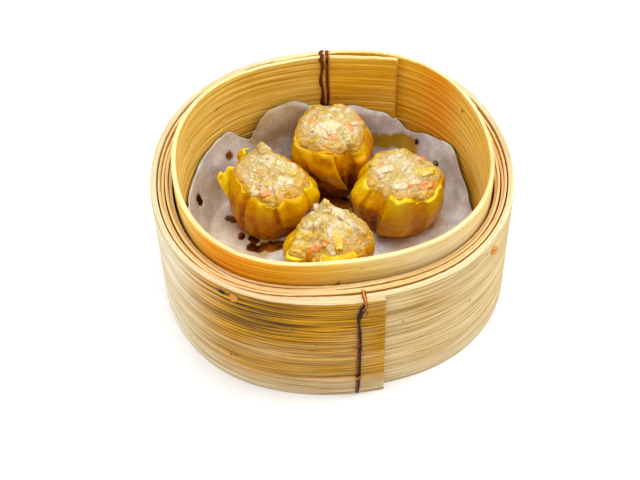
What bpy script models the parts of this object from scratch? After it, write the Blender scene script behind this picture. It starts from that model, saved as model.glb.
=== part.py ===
"""Siu mai in their bamboo steamer basket, with the paper liner that they stand on.

Frame: metres, +Z up. The origin is at the middle of the object's box, on the surface it stands on.
The camera side of the basket, where the outer hoop's lap is sewn, faces -Y.
"""
import math

import bmesh
import bpy
import numpy as np

MM = 0.001
GAP = 0.3 * MM                  # clearance between pieces that touch
STATIONS_PER_TURN = 72          # steps round a hoop

# Outer hoop: one wide bamboo strip wound a little over one turn, its lap sewn at the front.
OUTER_CENTRE = np.array([0.03, -0.07]) * MM
OUTER_RADIUS = 78.0 * MM
OUTER_LOBES = ((2, 0.46 * MM, 0.18 * MM), (3, -0.02 * MM, -0.51 * MM), (4, -0.98 * MM, -0.35 * MM))
OUTER_THICKNESS = 2.6 * MM
OUTER_HEIGHT = 60.3 * MM
OUTER_START = math.radians(-95.0)      # hidden end, under the lap
OUTER_END = math.radians(284.5)         # free end, at the front
OUTER_EASE = math.radians(80.0)         # angle over which the strip climbs over its own start
UNDER_PLY_DROP = 1.2 * MM

# Inner hoop: a thinner strip, also lapped, that stands 10 mm above the outer one.
INNER_CENTRE = OUTER_CENTRE + np.array([-0.44, -0.08]) * MM
INNER_RADIUS = 67.1 * MM
INNER_LOBES = ((2, 2.13 * MM, 0.81 * MM), (3, 0.02 * MM, -0.17 * MM), (4, -1.37 * MM, -0.99 * MM))
INNER_THICKNESS = 2.0 * MM
INNER_TOP = 70.0 * MM
INNER_START = math.radians(61.0)        # inner end, seen at the back right
INNER_LAP_END = math.radians(112.0)     # outer end, at the back left
CHORD_DIP = 1.6 * MM                    # the stiff inner end stays nearly straight
CHORD_SPAN = math.radians(30.0)

# Floor: a ring inside the outer hoop, slats across it and two battens under the slats.
RING_BOTTOM = 0.8 * MM
RING_TOP = 10.0 * MM
RING_THICKNESS = 2.6 * MM
SLAT_COUNT = 9
SLAT_PITCH = 14.8 * MM
SLAT_WIDTH = 13.4 * MM
SLAT_BOTTOM = RING_TOP + GAP
SLAT_THICKNESS = 3.0 * MM
FLOOR = SLAT_BOTTOM + SLAT_THICKNESS
BATTEN_X = 30.0 * MM
BATTEN_WIDTH = 10.0 * MM
BATTEN_THICKNESS = 2.8 * MM
HOOP_FOOT = FLOOR + GAP

# Filler strips wound between the two hoops: (thickness, top height).
OUTER_FILLER = (1.9 * MM, 59.2 * MM)
INNER_FILLER = (1.8 * MM, 58.4 * MM)
FILLER_CLEARANCE = 0.5 * MM
# Where the inner filler stands off the inner hoop: (angle, half width, extra gap).
FILLER_BULGES = ((math.radians(175.0), math.radians(38.0), 1.3 * MM),
                 (math.radians(90.0), math.radians(34.0), 2.0 * MM))

# Cane ties: a narrow one sews the outer lap, a wider one the inner lap.
OUTER_TIE_ANGLES = (-81.4, -82.2, -83.2, -83.3, -83.4, -83.8)      # degrees, from the rim down
OUTER_TIE_HEIGHTS = (61.0, 57.0, 52.0, 40.0, 22.0, 1.0)            # mm
OUTER_TIE_WIDTH = 1.7 * MM
OUTER_TIE_THICKNESS = 1.0 * MM
OUTER_TIE_REACH = 6.2 * MM              # how far it lies over the two edges of the lap
INNER_TIE_ANGLE = math.radians(91.0)
INNER_TIE_WIDTH = 4.4 * MM
INNER_TIE_THICKNESS = 1.0 * MM
INNER_TIE_FOOT = 16.5 * MM
INNER_TIE_BACK = 58.6 * MM

# Bamboo pins whose ends show on the outer face: (angle, height, radius, how far they stand out).
PEGS = {"peg_left": (math.radians(-121.8), 57.0 * MM, 1.9 * MM, 0.9 * MM),
        "peg_right": (math.radians(-33.8), 53.6 * MM, 1.5 * MM, 0.7 * MM)}

# Paper liner: a disc that lies on the slats and stands up the wall in uneven waves.
LINER_THICKNESS = 0.4 * MM
LINER_STEPS = 60
LINER_RINGS = 7
LINER_FOLD = 0.72                       # share of the wall radius where the paper starts to rise
# Where a dumpling stands close to the wall and the paper turns up late: (angle, half width, share added).
LINER_LATE_FOLDS = ((86, 54, 0.25), (166, 46, 0.15), (14, 40, 0.09))
LINER_WALL_CLEARANCE = 0.8 * MM
LINER_TIE_ROOM = (math.radians(91.0), math.radians(16.0), 1.1 * MM)    # it stands off the inner tie
# The standing edge: (angle in degrees, height in mm), joined by smooth waves.
LINER_EDGE = ((8, 19.0), (20, 27.0), (31, 36.5), (44, 32.5), (54, 28.5), (66, 39.0), (80, 42.5), (94, 43.0),
              (107, 47.5), (117, 46.0), (128, 32.0), (138, 42.0), (150, 40.0), (168, 35.0), (190, 29.0),
              (222, 24.0), (262, 21.0), (300, 18.0), (340, 16.8))

# The dumplings. Angles are degrees from +X seen from above, lengths are mm.
#   foot, crown: centres of the base and of the top; foot_radius; crown_radius (x, y)
#   rim: lowest and highest height of the wrapper's edge, and the angle where it is highest
#   dome: height of the filling's middle, and how full the dome is (2 is round, less is peaked)
#   creases: (angle, half width, depth); flaps: (angle, half width, outwards, upwards)
WRAPPER_THICKNESS = 1.1 * MM
DUMPLING_STEPS = 36
WRAPPER_LEVELS = (0.0, 0.10, 0.30, 0.55, 0.80, 1.0)
CAVITY_LEVELS = (1.0, 0.90, 0.50, 0.12)
FILLING_LEVELS = (0.50, 0.90)
DOME_SHARES = (0.93, 0.74, 0.42)
DUMPLINGS = {
    1: dict(foot=(-27.8, 17.8), crown=(-26.0, 17.0), foot_radius=17.4, crown_radius=(18.6, 17.8),
            rim=(36.6, 43.4, 122), dome=(46.0, 2.6),
            creases=((20, 12, 1.4), (62, 13, 1.2), (105, 12, 1.2), (160, 11, 1.6), (205, 12, 1.5),
                     (243, 11, 1.6), (290, 12, 2.6), (335, 13, 1.4)),
            flaps=((177, 17, 8.0, 1.6), (142, 13, 2.2, 1.6), (268, 20, 1.0, -1.0), (320, 14, 0.8, 0.3),
                   (352, 24, 2.6, -1.4))),
    2: dict(foot=(2.6, 40.8), crown=(1.2, 39.8), foot_radius=15.2, crown_radius=(18.6, 16.2),
            rim=(41.0, 46.4, 112), dome=(50.0, 2.6),
            creases=((0, 12, 1.3), (48, 13, 1.2), (95, 12, 1.0), (140, 12, 1.3), (185, 12, 1.4),
                     (225, 13, 1.8), (292, 12, 3.2), (330, 12, 1.4)),
            flaps=((255, 20, 1.8, -3.5), (205, 13, 1.2, 1.2), (312, 14, 1.0, 0.6))),
    3: dict(foot=(29.8, 15.8), crown=(31.4, 14.6), foot_radius=17.2, crown_radius=(19.4, 18.4),
            rim=(37.6, 41.0, 90), dome=(45.0, 2.6),
            creases=((30, 12, 1.2), (75, 13, 1.2), (120, 12, 1.3), (165, 12, 1.6), (228, 12, 3.2),
                     (283, 9, 1.6), (325, 12, 1.4)),
            flaps=((200, 18, 1.8, 0.6), (262, 20, 1.6, -1.2), (302, 15, 1.4, -0.6), (-4, 13, 1.8, 1.6))),
    4: dict(foot=(-3.2, -17.2), crown=(-2.0, -17.6), foot_radius=17.2, crown_radius=(19.6, 17.6),
            rim=(35.4, 36.6, 270), dome=(49.0, 1.4),
            creases=((10, 12, 1.3), (55, 13, 1.1), (100, 12, 1.2), (150, 13, 1.3), (192, 11, 1.6),
                     (243, 9, 1.8), (330, 12, 1.4)),
            flaps=((222, 20, 5.6, 1.0), (278, 22, 2.0, 0.6), (345, 14, 1.0, 0.8))),
}


def srgb(code):
    """Linear colour of an sRGB hex code."""
    parts = [int(code[i:i + 2], 16) / 255.0 for i in (0, 2, 4)]
    return [c / 12.92 if c <= 0.04045 else ((c + 0.055) / 1.055) ** 2.4 for c in parts] + [1.0]


def make_material(name, code, roughness):
    """Principled material with one colour."""
    material = bpy.data.materials.new(name)
    material.use_nodes = True
    shader = material.node_tree.nodes["Principled BSDF"]
    shader.inputs["Base Color"].default_value = srgb(code)
    shader.inputs["Roughness"].default_value = roughness
    shader.inputs["Metallic"].default_value = 0.0
    return material


def add_object(name, points, faces, material, sharp_degrees=40.0):
    """New object from points and faces, its faces turned outwards and shaded smooth."""
    mesh = bpy.data.meshes.new(name)
    mesh.from_pydata([tuple(p) for p in points], [], [tuple(f) for f in faces])
    edit = bmesh.new()
    edit.from_mesh(mesh)
    bmesh.ops.recalc_face_normals(edit, faces=edit.faces)
    edit.to_mesh(mesh)
    edit.free()
    mesh.materials.append(material)
    mesh.shade_smooth()
    mesh.set_sharp_from_angle(angle=math.radians(sharp_degrees))
    obj = bpy.data.objects.new(name, mesh)
    bpy.context.scene.collection.objects.link(obj)
    return obj


def smooth_step(x):
    """0 below 0, 1 above 1, and a smooth rise between."""
    x = np.clip(x, 0.0, 1.0)
    return x * x * (3.0 - 2.0 * x)


def bump(angle, middle, half_width):
    """1 at the middle angle, falling smoothly to 0 at the half width to either side."""
    away = np.abs((angle - middle + math.pi) % (2.0 * math.pi) - math.pi)
    return smooth_step(1.0 - away / half_width)


def lobed(radius, lobes, angle):
    """Mean radius plus cosine and sine lobes of a given count: a hoop a little out of round."""
    total = np.full_like(angle, radius)
    for count, cos_part, sin_part in lobes:
        total += cos_part * np.cos(count * angle) + sin_part * np.sin(count * angle)
    return total


# ---------------------------------------------------------------- the hoops' walls, as radii

def outer_hoop_radius(angle):
    """Outer face of the outer hoop's strip; the angle runs on from start to end, past one turn."""
    climb = smooth_step((angle - (OUTER_END - 2.0 * math.pi)) / OUTER_EASE)
    step = OUTER_THICKNESS + GAP
    return lobed(OUTER_RADIUS, OUTER_LOBES, angle) - step * (1.0 - climb)


def outer_hoop_inside(angle):
    """Inner face of the innermost ply of the outer hoop, for any angle."""
    wrapped = (angle - OUTER_START) % (2.0 * math.pi) + OUTER_START
    return outer_hoop_radius(wrapped) - OUTER_THICKNESS


def inner_hoop_radius(angle):
    """Outer face of the inner hoop's strip; it works its way outwards by one thickness a turn."""
    step = INNER_THICKNESS + GAP
    climb = (angle - INNER_LAP_END) / (INNER_START + 2.0 * math.pi - INNER_LAP_END)
    straight = np.clip((angle - INNER_START) / CHORD_SPAN, 0.0, 1.0)
    dip = CHORD_DIP * np.sin(math.pi * straight)
    return lobed(INNER_RADIUS, INNER_LOBES, angle) + step * (np.clip(climb, 0.0, 1.0) - 0.5) - dip


def inner_hoop_inside(angle):
    """Inner face of the innermost ply of the inner hoop, for any angle."""
    wrapped = (angle - INNER_START) % (2.0 * math.pi) + INNER_START
    return inner_hoop_radius(wrapped) - INNER_THICKNESS


def inner_hoop_outside(angle):
    """Outer face of the outermost ply of the inner hoop, for any angle."""
    last_turn = INNER_LAP_END
    wrapped = (angle - last_turn) % (2.0 * math.pi) + last_turn
    return inner_hoop_radius(wrapped)


def strip_solid(name, angles, centre, outer, inner, bottom, top, material, closed=False):
    """A strip on edge: at each angle a four-cornered section, joined to the next; ends capped."""
    count = len(angles)
    corners = []
    for radius, height in ((inner, bottom), (outer, bottom), (outer, top), (inner, top)):
        across = centre[0] + radius * np.cos(angles)
        along = centre[1] + radius * np.sin(angles)
        corners.append(np.stack([across, along, np.broadcast_to(height, (count,))], axis=1))
    points = np.stack(corners, axis=1).reshape(-1, 3)
    faces = []
    for i in range(count if closed else count - 1):
        here, there = 4 * i, 4 * ((i + 1) % count)
        for side in range(4):
            after = (side + 1) % 4
            faces.append((here + side, there + side, there + after, here + after))
    if not closed:
        last = 4 * (count - 1)
        faces.append((0, 1, 2, 3))
        faces.append((last + 3, last + 2, last + 1, last))
    return add_object(name, points, faces, material)


def turn_angles():
    """Angles of one closed turn."""
    return np.arange(STATIONS_PER_TURN) * 2.0 * math.pi / STATIONS_PER_TURN


def run_angles(start, end):
    """Angles of an open run at about the same spacing."""
    count = int(round((end - start) / (2.0 * math.pi) * STATIONS_PER_TURN)) + 1
    return np.linspace(start, end, count)


def make_outer_hoop(bamboo):
    """The outer strip; its first stretch lies under its last and is a little lower."""
    angles = run_angles(OUTER_START, OUTER_END)
    radius = outer_hoop_radius(angles)
    climb = smooth_step((angles - (OUTER_END - 2.0 * math.pi)) / OUTER_EASE)
    top = OUTER_HEIGHT - UNDER_PLY_DROP * (1.0 - climb)
    strip_solid("outer_hoop", angles, OUTER_CENTRE, radius, radius - OUTER_THICKNESS, 0.0, top, bamboo)


def make_inner_hoop(bamboo):
    """The inner strip, standing on the ends of the slats."""
    angles = run_angles(INNER_START, INNER_LAP_END + 2.0 * math.pi)
    radius = inner_hoop_radius(angles)
    strip_solid("inner_hoop", angles, INNER_CENTRE, radius, radius - INNER_THICKNESS,
                HOOP_FOOT, INNER_TOP, bamboo)


def make_fillers(bamboo):
    """Two thin strips wound between the hoops."""
    angles = turn_angles()
    thickness, top = OUTER_FILLER
    outer = outer_hoop_inside(angles) - FILLER_CLEARANCE
    strip_solid("filler_outer", angles, OUTER_CENTRE, outer, outer - thickness, HOOP_FOOT, top, bamboo,
                closed=True)
    thickness, top = INNER_FILLER
    inner = inner_hoop_outside(angles) + FILLER_CLEARANCE
    for middle, half_width, extra in FILLER_BULGES:
        inner = inner + extra * bump(angles, middle, half_width)
    strip_solid("filler_inner", angles, INNER_CENTRE, inner + thickness, inner, HOOP_FOOT, top, bamboo,
                closed=True)


# ---------------------------------------------------------------- the floor

def floor_edge(angle):
    """Radius of the floor's edge, just inside the outer hoop."""
    return outer_hoop_inside(angle) - GAP


def edge_point(height, side):
    """Point of the floor's edge at a given y, on the +X or the -X side."""
    angle = np.zeros_like(height)
    for _ in range(30):
        turned = angle if side > 0 else math.pi - angle
        angle = np.arcsin(np.clip(height / floor_edge(turned), -1.0, 1.0))
    radius = floor_edge(angle if side > 0 else math.pi - angle)
    return side * radius * np.cos(angle)


def plate_solid(name, outline, bottom, top, material):
    """A flat plate: an outline in x and y carried from its bottom to its top."""
    count = len(outline)
    low = [(x, y, bottom) for x, y in outline]
    high = [(x, y, top) for x, y in outline]
    faces = [tuple(reversed(range(count))), tuple(range(count, 2 * count))]
    faces += [(i, (i + 1) % count, count + (i + 1) % count, count + i) for i in range(count)]
    return add_object(name, low + high, faces, material)


def make_floor(bamboo):
    """Ring, slats with their ends cut to the hoop, and two battens that hold the slats together."""
    angles = turn_angles()
    outer = floor_edge(angles)
    strip_solid("base_ring", angles, OUTER_CENTRE, outer, outer - RING_THICKNESS, RING_BOTTOM, RING_TOP,
                bamboo, closed=True)
    for number in range(SLAT_COUNT):
        middle = (number - (SLAT_COUNT - 1) / 2.0) * SLAT_PITCH
        heights = np.linspace(middle - SLAT_WIDTH / 2.0, middle + SLAT_WIDTH / 2.0, 4)
        right = edge_point(heights, 1.0)
        left = edge_point(heights, -1.0)
        outline = list(zip(right, heights)) + list(zip(left[::-1], heights[::-1]))
        placed = [(OUTER_CENTRE[0] + x, OUTER_CENTRE[1] + y) for x, y in outline]
        plate_solid(f"slat_{number + 1}", placed, SLAT_BOTTOM, FLOOR, bamboo)
    reach = float(floor_edge(np.array([math.pi / 2.0, -math.pi / 2.0])).min()) - RING_THICKNESS - GAP
    far_side = BATTEN_X + BATTEN_WIDTH / 2.0
    half_length = math.sqrt(reach ** 2 - far_side ** 2)
    for number, side in enumerate((-1.0, 1.0), start=1):
        near, far = side * (BATTEN_X - BATTEN_WIDTH / 2.0), side * far_side
        outline = [(near, -half_length), (far, -half_length), (far, half_length), (near, half_length)]
        placed = [(OUTER_CENTRE[0] + x, OUTER_CENTRE[1] + y) for x, y in outline]
        plate_solid(f"batten_{number}", placed, RING_TOP - BATTEN_THICKNESS, RING_TOP, bamboo)


# ---------------------------------------------------------------- ties and pegs

def strap_solid(name, path, outward, sideways, width, thickness, material):
    """A flat strap: its inner face follows the path, its thickness goes along the outward directions."""
    path, outward, sideways = np.array(path), np.array(outward), np.array(sideways)
    half = 0.5 * width * sideways
    sections = np.stack([path - half, path + half, path + half + thickness * outward,
                         path - half + thickness * outward], axis=1)
    count = len(path)
    faces = [(0, 1, 2, 3), tuple(4 * (count - 1) + k for k in (3, 2, 1, 0))]
    for i in range(count - 1):
        for side in range(4):
            after = (side + 1) % 4
            faces.append((4 * i + side, 4 * i + after, 4 * (i + 1) + after, 4 * (i + 1) + side))
    return add_object(name, sections.reshape(-1, 3), faces, material)


def make_outer_tie(cane):
    """Cane over the edge of the front lap and down its face."""
    degrees = np.array(OUTER_TIE_ANGLES)
    heights = np.array(OUTER_TIE_HEIGHTS) * MM
    path, outward, sideways = [], [], []
    rim_angle = math.radians(degrees[0])
    rim_radius = float(outer_hoop_radius(np.array([rim_angle + 2.0 * math.pi]))[0]) + GAP
    rest = OUTER_HEIGHT + GAP
    for inward, out_part in ((OUTER_TIE_REACH, 0.0), (3.0 * MM, 0.0), (0.0, 1.0)):
        radius = rim_radius - inward
        path.append((radius * math.cos(rim_angle), radius * math.sin(rim_angle), rest))
        outward.append((out_part * math.cos(rim_angle), out_part * math.sin(rim_angle), 1.0))
        sideways.append((-math.sin(rim_angle), math.cos(rim_angle), 0.0))
    for degree, height in zip(degrees[1:], heights[1:]):
        angle = math.radians(degree)
        radius = float(outer_hoop_radius(np.array([angle + 2.0 * math.pi]))[0]) + GAP
        path.append((radius * math.cos(angle), radius * math.sin(angle), height))
        outward.append((math.cos(angle), math.sin(angle), 0.0))
        sideways.append((-math.sin(angle), math.cos(angle), 0.0))
    path = np.array(path) + np.array([OUTER_CENTRE[0], OUTER_CENTRE[1], 0.0])
    strap_solid("outer_tie", path, outward, sideways, OUTER_TIE_WIDTH, OUTER_TIE_THICKNESS, cane)


def make_inner_tie(cane):
    """Cane round both plies of the inner lap: up the inside, over the rim, a little down the back."""
    angle = INNER_TIE_ANGLE
    inside = float(inner_hoop_inside(np.array([angle]))[0]) - GAP
    outside = float(inner_hoop_outside(np.array([angle]))[0]) + GAP
    rest = INNER_TOP + GAP
    steps = ((inside, INNER_TIE_FOOT, -1.0, 0.0), (inside, 43.0 * MM, -1.0, 0.0),
             (inside, rest, -1.0, 1.0), (outside, rest, 1.0, 1.0), (outside, INNER_TIE_BACK, 1.0, 0.0))
    outwards = np.array([math.cos(angle), math.sin(angle), 0.0])
    upwards = np.array([0.0, 0.0, 1.0])
    path = [radius * outwards + height * upwards for radius, height, _, _ in steps]
    outward = [out * outwards + up * upwards for _, _, out, up in steps]
    sideways = [(-math.sin(angle), math.cos(angle), 0.0)] * len(steps)
    path = np.array(path) + np.array([INNER_CENTRE[0], INNER_CENTRE[1], 0.0])
    strap_solid("inner_tie", path, outward, sideways, INNER_TIE_WIDTH, INNER_TIE_THICKNESS, cane)


def make_pegs(bamboo):
    """Round pin ends that stand a little out of the outer hoop."""
    for name, (angle, height, radius, stand) in PEGS.items():
        wrapped = (angle - OUTER_START) % (2.0 * math.pi) + OUTER_START
        start = float(outer_hoop_radius(np.array([wrapped]))[0]) + GAP
        turns = np.arange(8) * math.pi / 4.0
        across = np.array([-math.sin(angle), math.cos(angle), 0.0])
        outwards = np.array([math.cos(angle), math.sin(angle), 0.0])
        middle = np.array([OUTER_CENTRE[0], OUTER_CENTRE[1], height])
        points = []
        for reach in (start, start + stand):
            for turn in turns:
                points.append(middle + reach * outwards
                              + radius * (math.cos(turn) * across + math.sin(turn) * np.array([0, 0, 1.0])))
        faces = [tuple(range(8)), tuple(range(15, 7, -1))]
        faces += [(i, (i + 1) % 8, 8 + (i + 1) % 8, 8 + i) for i in range(8)]
        add_object(name, points, faces, bamboo)


# ---------------------------------------------------------------- the liner

def liner_edge_height(angle):
    """Height of the liner's edge at any angle: half a cosine wave from each point to the next."""
    degrees = np.degrees(angle) % 360.0
    places = np.array([place for place, _ in LINER_EDGE], dtype=float)
    heights = np.array([height for _, height in LINER_EDGE]) * MM
    places = np.concatenate([[places[-1] - 360.0], places, [places[0] + 360.0]])
    heights = np.concatenate([[heights[-1]], heights, [heights[0]]])
    after = np.searchsorted(places, degrees, side="right")
    share = (degrees - places[after - 1]) / (places[after] - places[after - 1])
    wave = 0.5 - 0.5 * np.cos(math.pi * share)
    return heights[after - 1] + (heights[after] - heights[after - 1]) * wave


def make_liner(paper):
    """Flat in the middle, rising along a smooth curve to an uneven edge against the wall."""
    angles = np.arange(LINER_STEPS) * 2.0 * math.pi / LINER_STEPS
    step = 2.0 * math.pi / LINER_STEPS
    around = [inner_hoop_inside(angles + turn * step) for turn in (-1, 0, 1)]
    middle, half_width, room = LINER_TIE_ROOM
    wall = np.min(around, axis=0) - LINER_WALL_CLEARANCE - room * bump(angles, middle, half_width)
    edge = liner_edge_height(angles)
    fold = np.full_like(angles, LINER_FOLD)
    for degree, half_width, late in LINER_LATE_FOLDS:
        fold += late * bump(angles, math.radians(degree), math.radians(half_width))
    run = np.linspace(0.0, 1.0, LINER_RINGS - 1)[:, None]
    shares = np.concatenate([0.5 * fold[None, :], fold + (1.0 - fold) * run])
    radius = wall * shares
    base = FLOOR + GAP
    rise = np.concatenate([[[0.0]], run ** 1.7])
    under = base + (edge - base) * rise
    slope = np.gradient(under, axis=0) / np.gradient(radius, axis=0)
    tilt = np.arctan(slope)
    lower = np.stack([INNER_CENTRE[0] + radius * np.cos(angles), INNER_CENTRE[1] + radius * np.sin(angles),
                      under], axis=2)
    shift = LINER_THICKNESS
    upper = np.stack([INNER_CENTRE[0] + (radius - shift * np.sin(tilt)) * np.cos(angles),
                      INNER_CENTRE[1] + (radius - shift * np.sin(tilt)) * np.sin(angles),
                      under + shift * np.cos(tilt)], axis=2)
    upper[0, :, 2] = base + shift
    points = np.concatenate([lower.reshape(-1, 3), upper.reshape(-1, 3),
                             [[INNER_CENTRE[0], INNER_CENTRE[1], base],
                              [INNER_CENTRE[0], INNER_CENTRE[1], base + shift]]])
    half = LINER_RINGS * LINER_STEPS
    faces = []
    for i in range(LINER_STEPS):
        j = (i + 1) % LINER_STEPS
        faces.append((2 * half, j, i))
        faces.append((2 * half + 1, half + i, half + j))
        for ring in range(LINER_RINGS - 1):
            a, b = ring * LINER_STEPS + i, ring * LINER_STEPS + j
            c, d = b + LINER_STEPS, a + LINER_STEPS
            faces.append((a, b, c, d))
            faces.append((half + d, half + c, half + b, half + a))
        rim = (LINER_RINGS - 1) * LINER_STEPS
        faces.append((rim + i, rim + j, half + rim + j, half + rim + i))
    add_object("liner", points, faces, paper)


# ---------------------------------------------------------------- the dumplings

def ring_faces(rings, steps):
    """Faces that join ring to ring, with the first and the last ring filled from a middle point."""
    faces = []
    for ring in range(rings - 1):
        for i in range(steps):
            j = (i + 1) % steps
            faces.append((ring * steps + i, ring * steps + j, (ring + 1) * steps + j, (ring + 1) * steps + i))
    first, last = rings * steps, rings * steps + 1
    for i in range(steps):
        j = (i + 1) % steps
        faces.append((first, j, i))
        faces.append((last, (rings - 1) * steps + i, (rings - 1) * steps + j))
    return faces


def rim_height(shape, angles):
    """Height of the wrapper's edge before its flaps: it leans up towards one side."""
    low, high, uphill = shape["rim"]
    return (low + (high - low) * 0.5 * (1.0 + np.cos(angles - math.radians(uphill)))) * MM


def wrapper_ring(shape, level, angles, inset, foot_height):
    """One ring of a wrapper: round and plain at the foot, creased and flared at the edge."""
    swell = smooth_step(0.15 + 0.85 * level) ** 0.8
    foot, crown = np.array(shape["foot"]), np.array(shape["crown"])
    centre = OUTER_CENTRE + (foot + (crown - foot) * level) * MM
    wide = np.array(shape["crown_radius"]) * MM
    narrow = shape["foot_radius"] * MM
    radius_x = narrow + (wide[0] - narrow) * swell
    radius_y = narrow + (wide[1] - narrow) * swell
    push = np.zeros_like(angles)
    rise = np.zeros_like(angles)
    for degree, half_width, depth in shape["creases"]:
        form = bump(angles, math.radians(degree), math.radians(half_width))
        push -= depth * MM * (0.25 + 0.75 * level) * form
    for degree, half_width, out, up in shape["flaps"]:
        form = bump(angles, math.radians(degree), math.radians(half_width))
        push += out * MM * level ** 2 * form
        rise += up * MM * level ** 2 * form
    height = foot_height + (rim_height(shape, angles) - foot_height) * level + rise
    return np.stack([centre[0] + (radius_x + push - inset) * np.cos(angles),
                     centre[1] + (radius_y + push - inset) * np.sin(angles), height], axis=1)


def make_wrapper(number, shape, foot_height, dough):
    """Cup of dough: outer wall, edge, inner wall and floor, one closed shell."""
    angles = np.arange(DUMPLING_STEPS) * 2.0 * math.pi / DUMPLING_STEPS
    rings = [wrapper_ring(shape, level, angles, 0.0, foot_height) for level in WRAPPER_LEVELS]
    rings += [wrapper_ring(shape, level, angles, WRAPPER_THICKNESS, foot_height) for level in CAVITY_LEVELS]
    foot = OUTER_CENTRE + np.array(shape["foot"]) * MM
    cavity = float(rings[-1][:, 2].mean())
    rings[-1][:, 2] = cavity
    points = np.concatenate(rings + [[[foot[0], foot[1], foot_height], [foot[0], foot[1], cavity]]])
    add_object(f"wrapper_{number}", points, ring_faces(len(rings), DUMPLING_STEPS), dough)
    return cavity


def make_filling(number, shape, cavity, foot_height, mince):
    """Mince that fills the cup from its floor to a lumpy dome above the edge."""
    angles = np.arange(DUMPLING_STEPS) * 2.0 * math.pi / DUMPLING_STEPS
    snug = dict(shape, flaps=())
    inset = WRAPPER_THICKNESS + 1.5 * GAP
    floor_ring = wrapper_ring(snug, CAVITY_LEVELS[-1], angles, inset, foot_height)
    floor_ring[:, 2] = cavity + GAP
    rings = [floor_ring]
    rings += [wrapper_ring(snug, level, angles, inset, foot_height) for level in FILLING_LEVELS]
    shoulder = rings[-1]
    middle = np.array([shoulder[:, 0].mean(), shoulder[:, 1].mean()])
    high, fullness = shape["dome"][0] * MM, shape["dome"][1]
    for share in DOME_SHARES:
        lift = math.sqrt(1.0 - share ** 2.0) ** (2.0 / fullness)
        lump = 0.7 * MM * np.sin(3.0 * angles + number) * np.sin(5.0 * angles + 2.0 * number) * share
        ring = shoulder.copy()
        ring[:, :2] = middle + (shoulder[:, :2] - middle) * share
        ring[:, 2] = shoulder[:, 2] + (high - shoulder[:, 2]) * lift + lump
        rings.append(ring)
    points = np.concatenate(rings + [[[middle[0], middle[1], cavity + GAP], [middle[0], middle[1], high]]])
    add_object(f"filling_{number}", points, ring_faces(len(rings), DUMPLING_STEPS), mince)


def build():
    """Clear the scene and make every piece."""
    for obj in list(bpy.data.objects):
        bpy.data.objects.remove(obj)
    pale_bamboo = make_material("bamboo_outer_face", "D9C07C", 0.5)
    golden_bamboo = make_material("bamboo_inner_face", "D9A441", 0.45)
    cut_bamboo = make_material("bamboo_filler", "E3CF95", 0.6)
    floor_bamboo = make_material("bamboo_floor", "C9A55E", 0.6)
    cane = make_material("cane", "6B3214", 0.55)
    paper = make_material("greaseproof_paper", "C9BFC0", 0.7)
    dough = make_material("steamed_dough", "DDA50F", 0.35)
    mince = make_material("pork_mince", "DFC08E", 0.45)
    make_outer_hoop(pale_bamboo)
    make_inner_hoop(golden_bamboo)
    make_fillers(cut_bamboo)
    make_floor(floor_bamboo)
    make_outer_tie(cane)
    make_inner_tie(cane)
    make_pegs(cut_bamboo)
    make_liner(paper)
    foot_height = FLOOR + GAP + LINER_THICKNESS + GAP
    for number, shape in DUMPLINGS.items():
        cavity = make_wrapper(number, shape, foot_height, dough)
        make_filling(number, shape, cavity, foot_height, mince)


build()
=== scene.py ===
"""Siu mai in a bamboo steamer basket: the finish of every piece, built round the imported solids.

Everything is in metres with +Z up. The basket stands on z = 0 and its sewn lap faces -Y.
"""
import math

import bmesh
import bpy
import numpy as np
from mathutils import Matrix, Vector


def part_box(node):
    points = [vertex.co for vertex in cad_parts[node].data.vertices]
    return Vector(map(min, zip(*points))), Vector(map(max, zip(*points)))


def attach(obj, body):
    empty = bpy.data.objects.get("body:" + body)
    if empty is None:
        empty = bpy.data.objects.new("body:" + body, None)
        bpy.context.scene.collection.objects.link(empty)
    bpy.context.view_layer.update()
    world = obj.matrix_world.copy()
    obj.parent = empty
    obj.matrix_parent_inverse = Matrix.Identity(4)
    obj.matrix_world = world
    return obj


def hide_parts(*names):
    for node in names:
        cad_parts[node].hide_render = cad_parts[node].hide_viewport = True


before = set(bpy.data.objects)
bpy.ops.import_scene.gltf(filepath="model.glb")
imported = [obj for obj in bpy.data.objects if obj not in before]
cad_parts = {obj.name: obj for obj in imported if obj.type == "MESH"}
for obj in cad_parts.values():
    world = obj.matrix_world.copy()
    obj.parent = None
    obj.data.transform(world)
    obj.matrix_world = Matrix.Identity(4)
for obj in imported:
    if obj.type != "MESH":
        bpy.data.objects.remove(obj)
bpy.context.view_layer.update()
MM = 0.001

# ---------------------------------------------------------------- camera, floor and light
# A plain pale floor under a bright, soft studio: one wide lamp above, one at each side, and an even
# white surround. The camera looks down at the sewn front of the basket with a little roll.
TARGET = Vector((-0.00587, -0.01498, 0.030))
CAMERA_DISTANCE = 0.54768
CAMERA_ELEVATION = math.radians(48.255)
CAMERA_ROLL = math.radians(1.744)

forward = Vector((0.0, math.cos(CAMERA_ELEVATION), -math.sin(CAMERA_ELEVATION)))
right = Vector((1.0, 0.0, 0.0))
up = right.cross(forward)
rolled_right = math.cos(CAMERA_ROLL) * right - math.sin(CAMERA_ROLL) * up
rolled_up = math.sin(CAMERA_ROLL) * right + math.cos(CAMERA_ROLL) * up
camera_data = bpy.data.cameras.new("camera")
camera_data.sensor_width = 36.0
camera_data.lens = 70.37
camera_data.clip_start = 0.01
camera = bpy.data.objects.new("camera", camera_data)
camera.matrix_world = Matrix.Translation(TARGET - CAMERA_DISTANCE * forward) @ Matrix(
    (rolled_right, rolled_up, -forward)).transposed().to_4x4()
bpy.context.scene.collection.objects.link(camera)
bpy.context.scene.camera = camera
bpy.context.scene.view_settings.view_transform = "Standard"


def linear(code):
    """Linear RGBA of an sRGB hex code."""
    parts = [int(code[i:i + 2], 16) / 255.0 for i in (0, 2, 4)]
    return [c / 12.92 if c <= 0.04045 else ((c + 0.055) / 1.055) ** 2.4 for c in parts] + [1.0]


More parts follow.
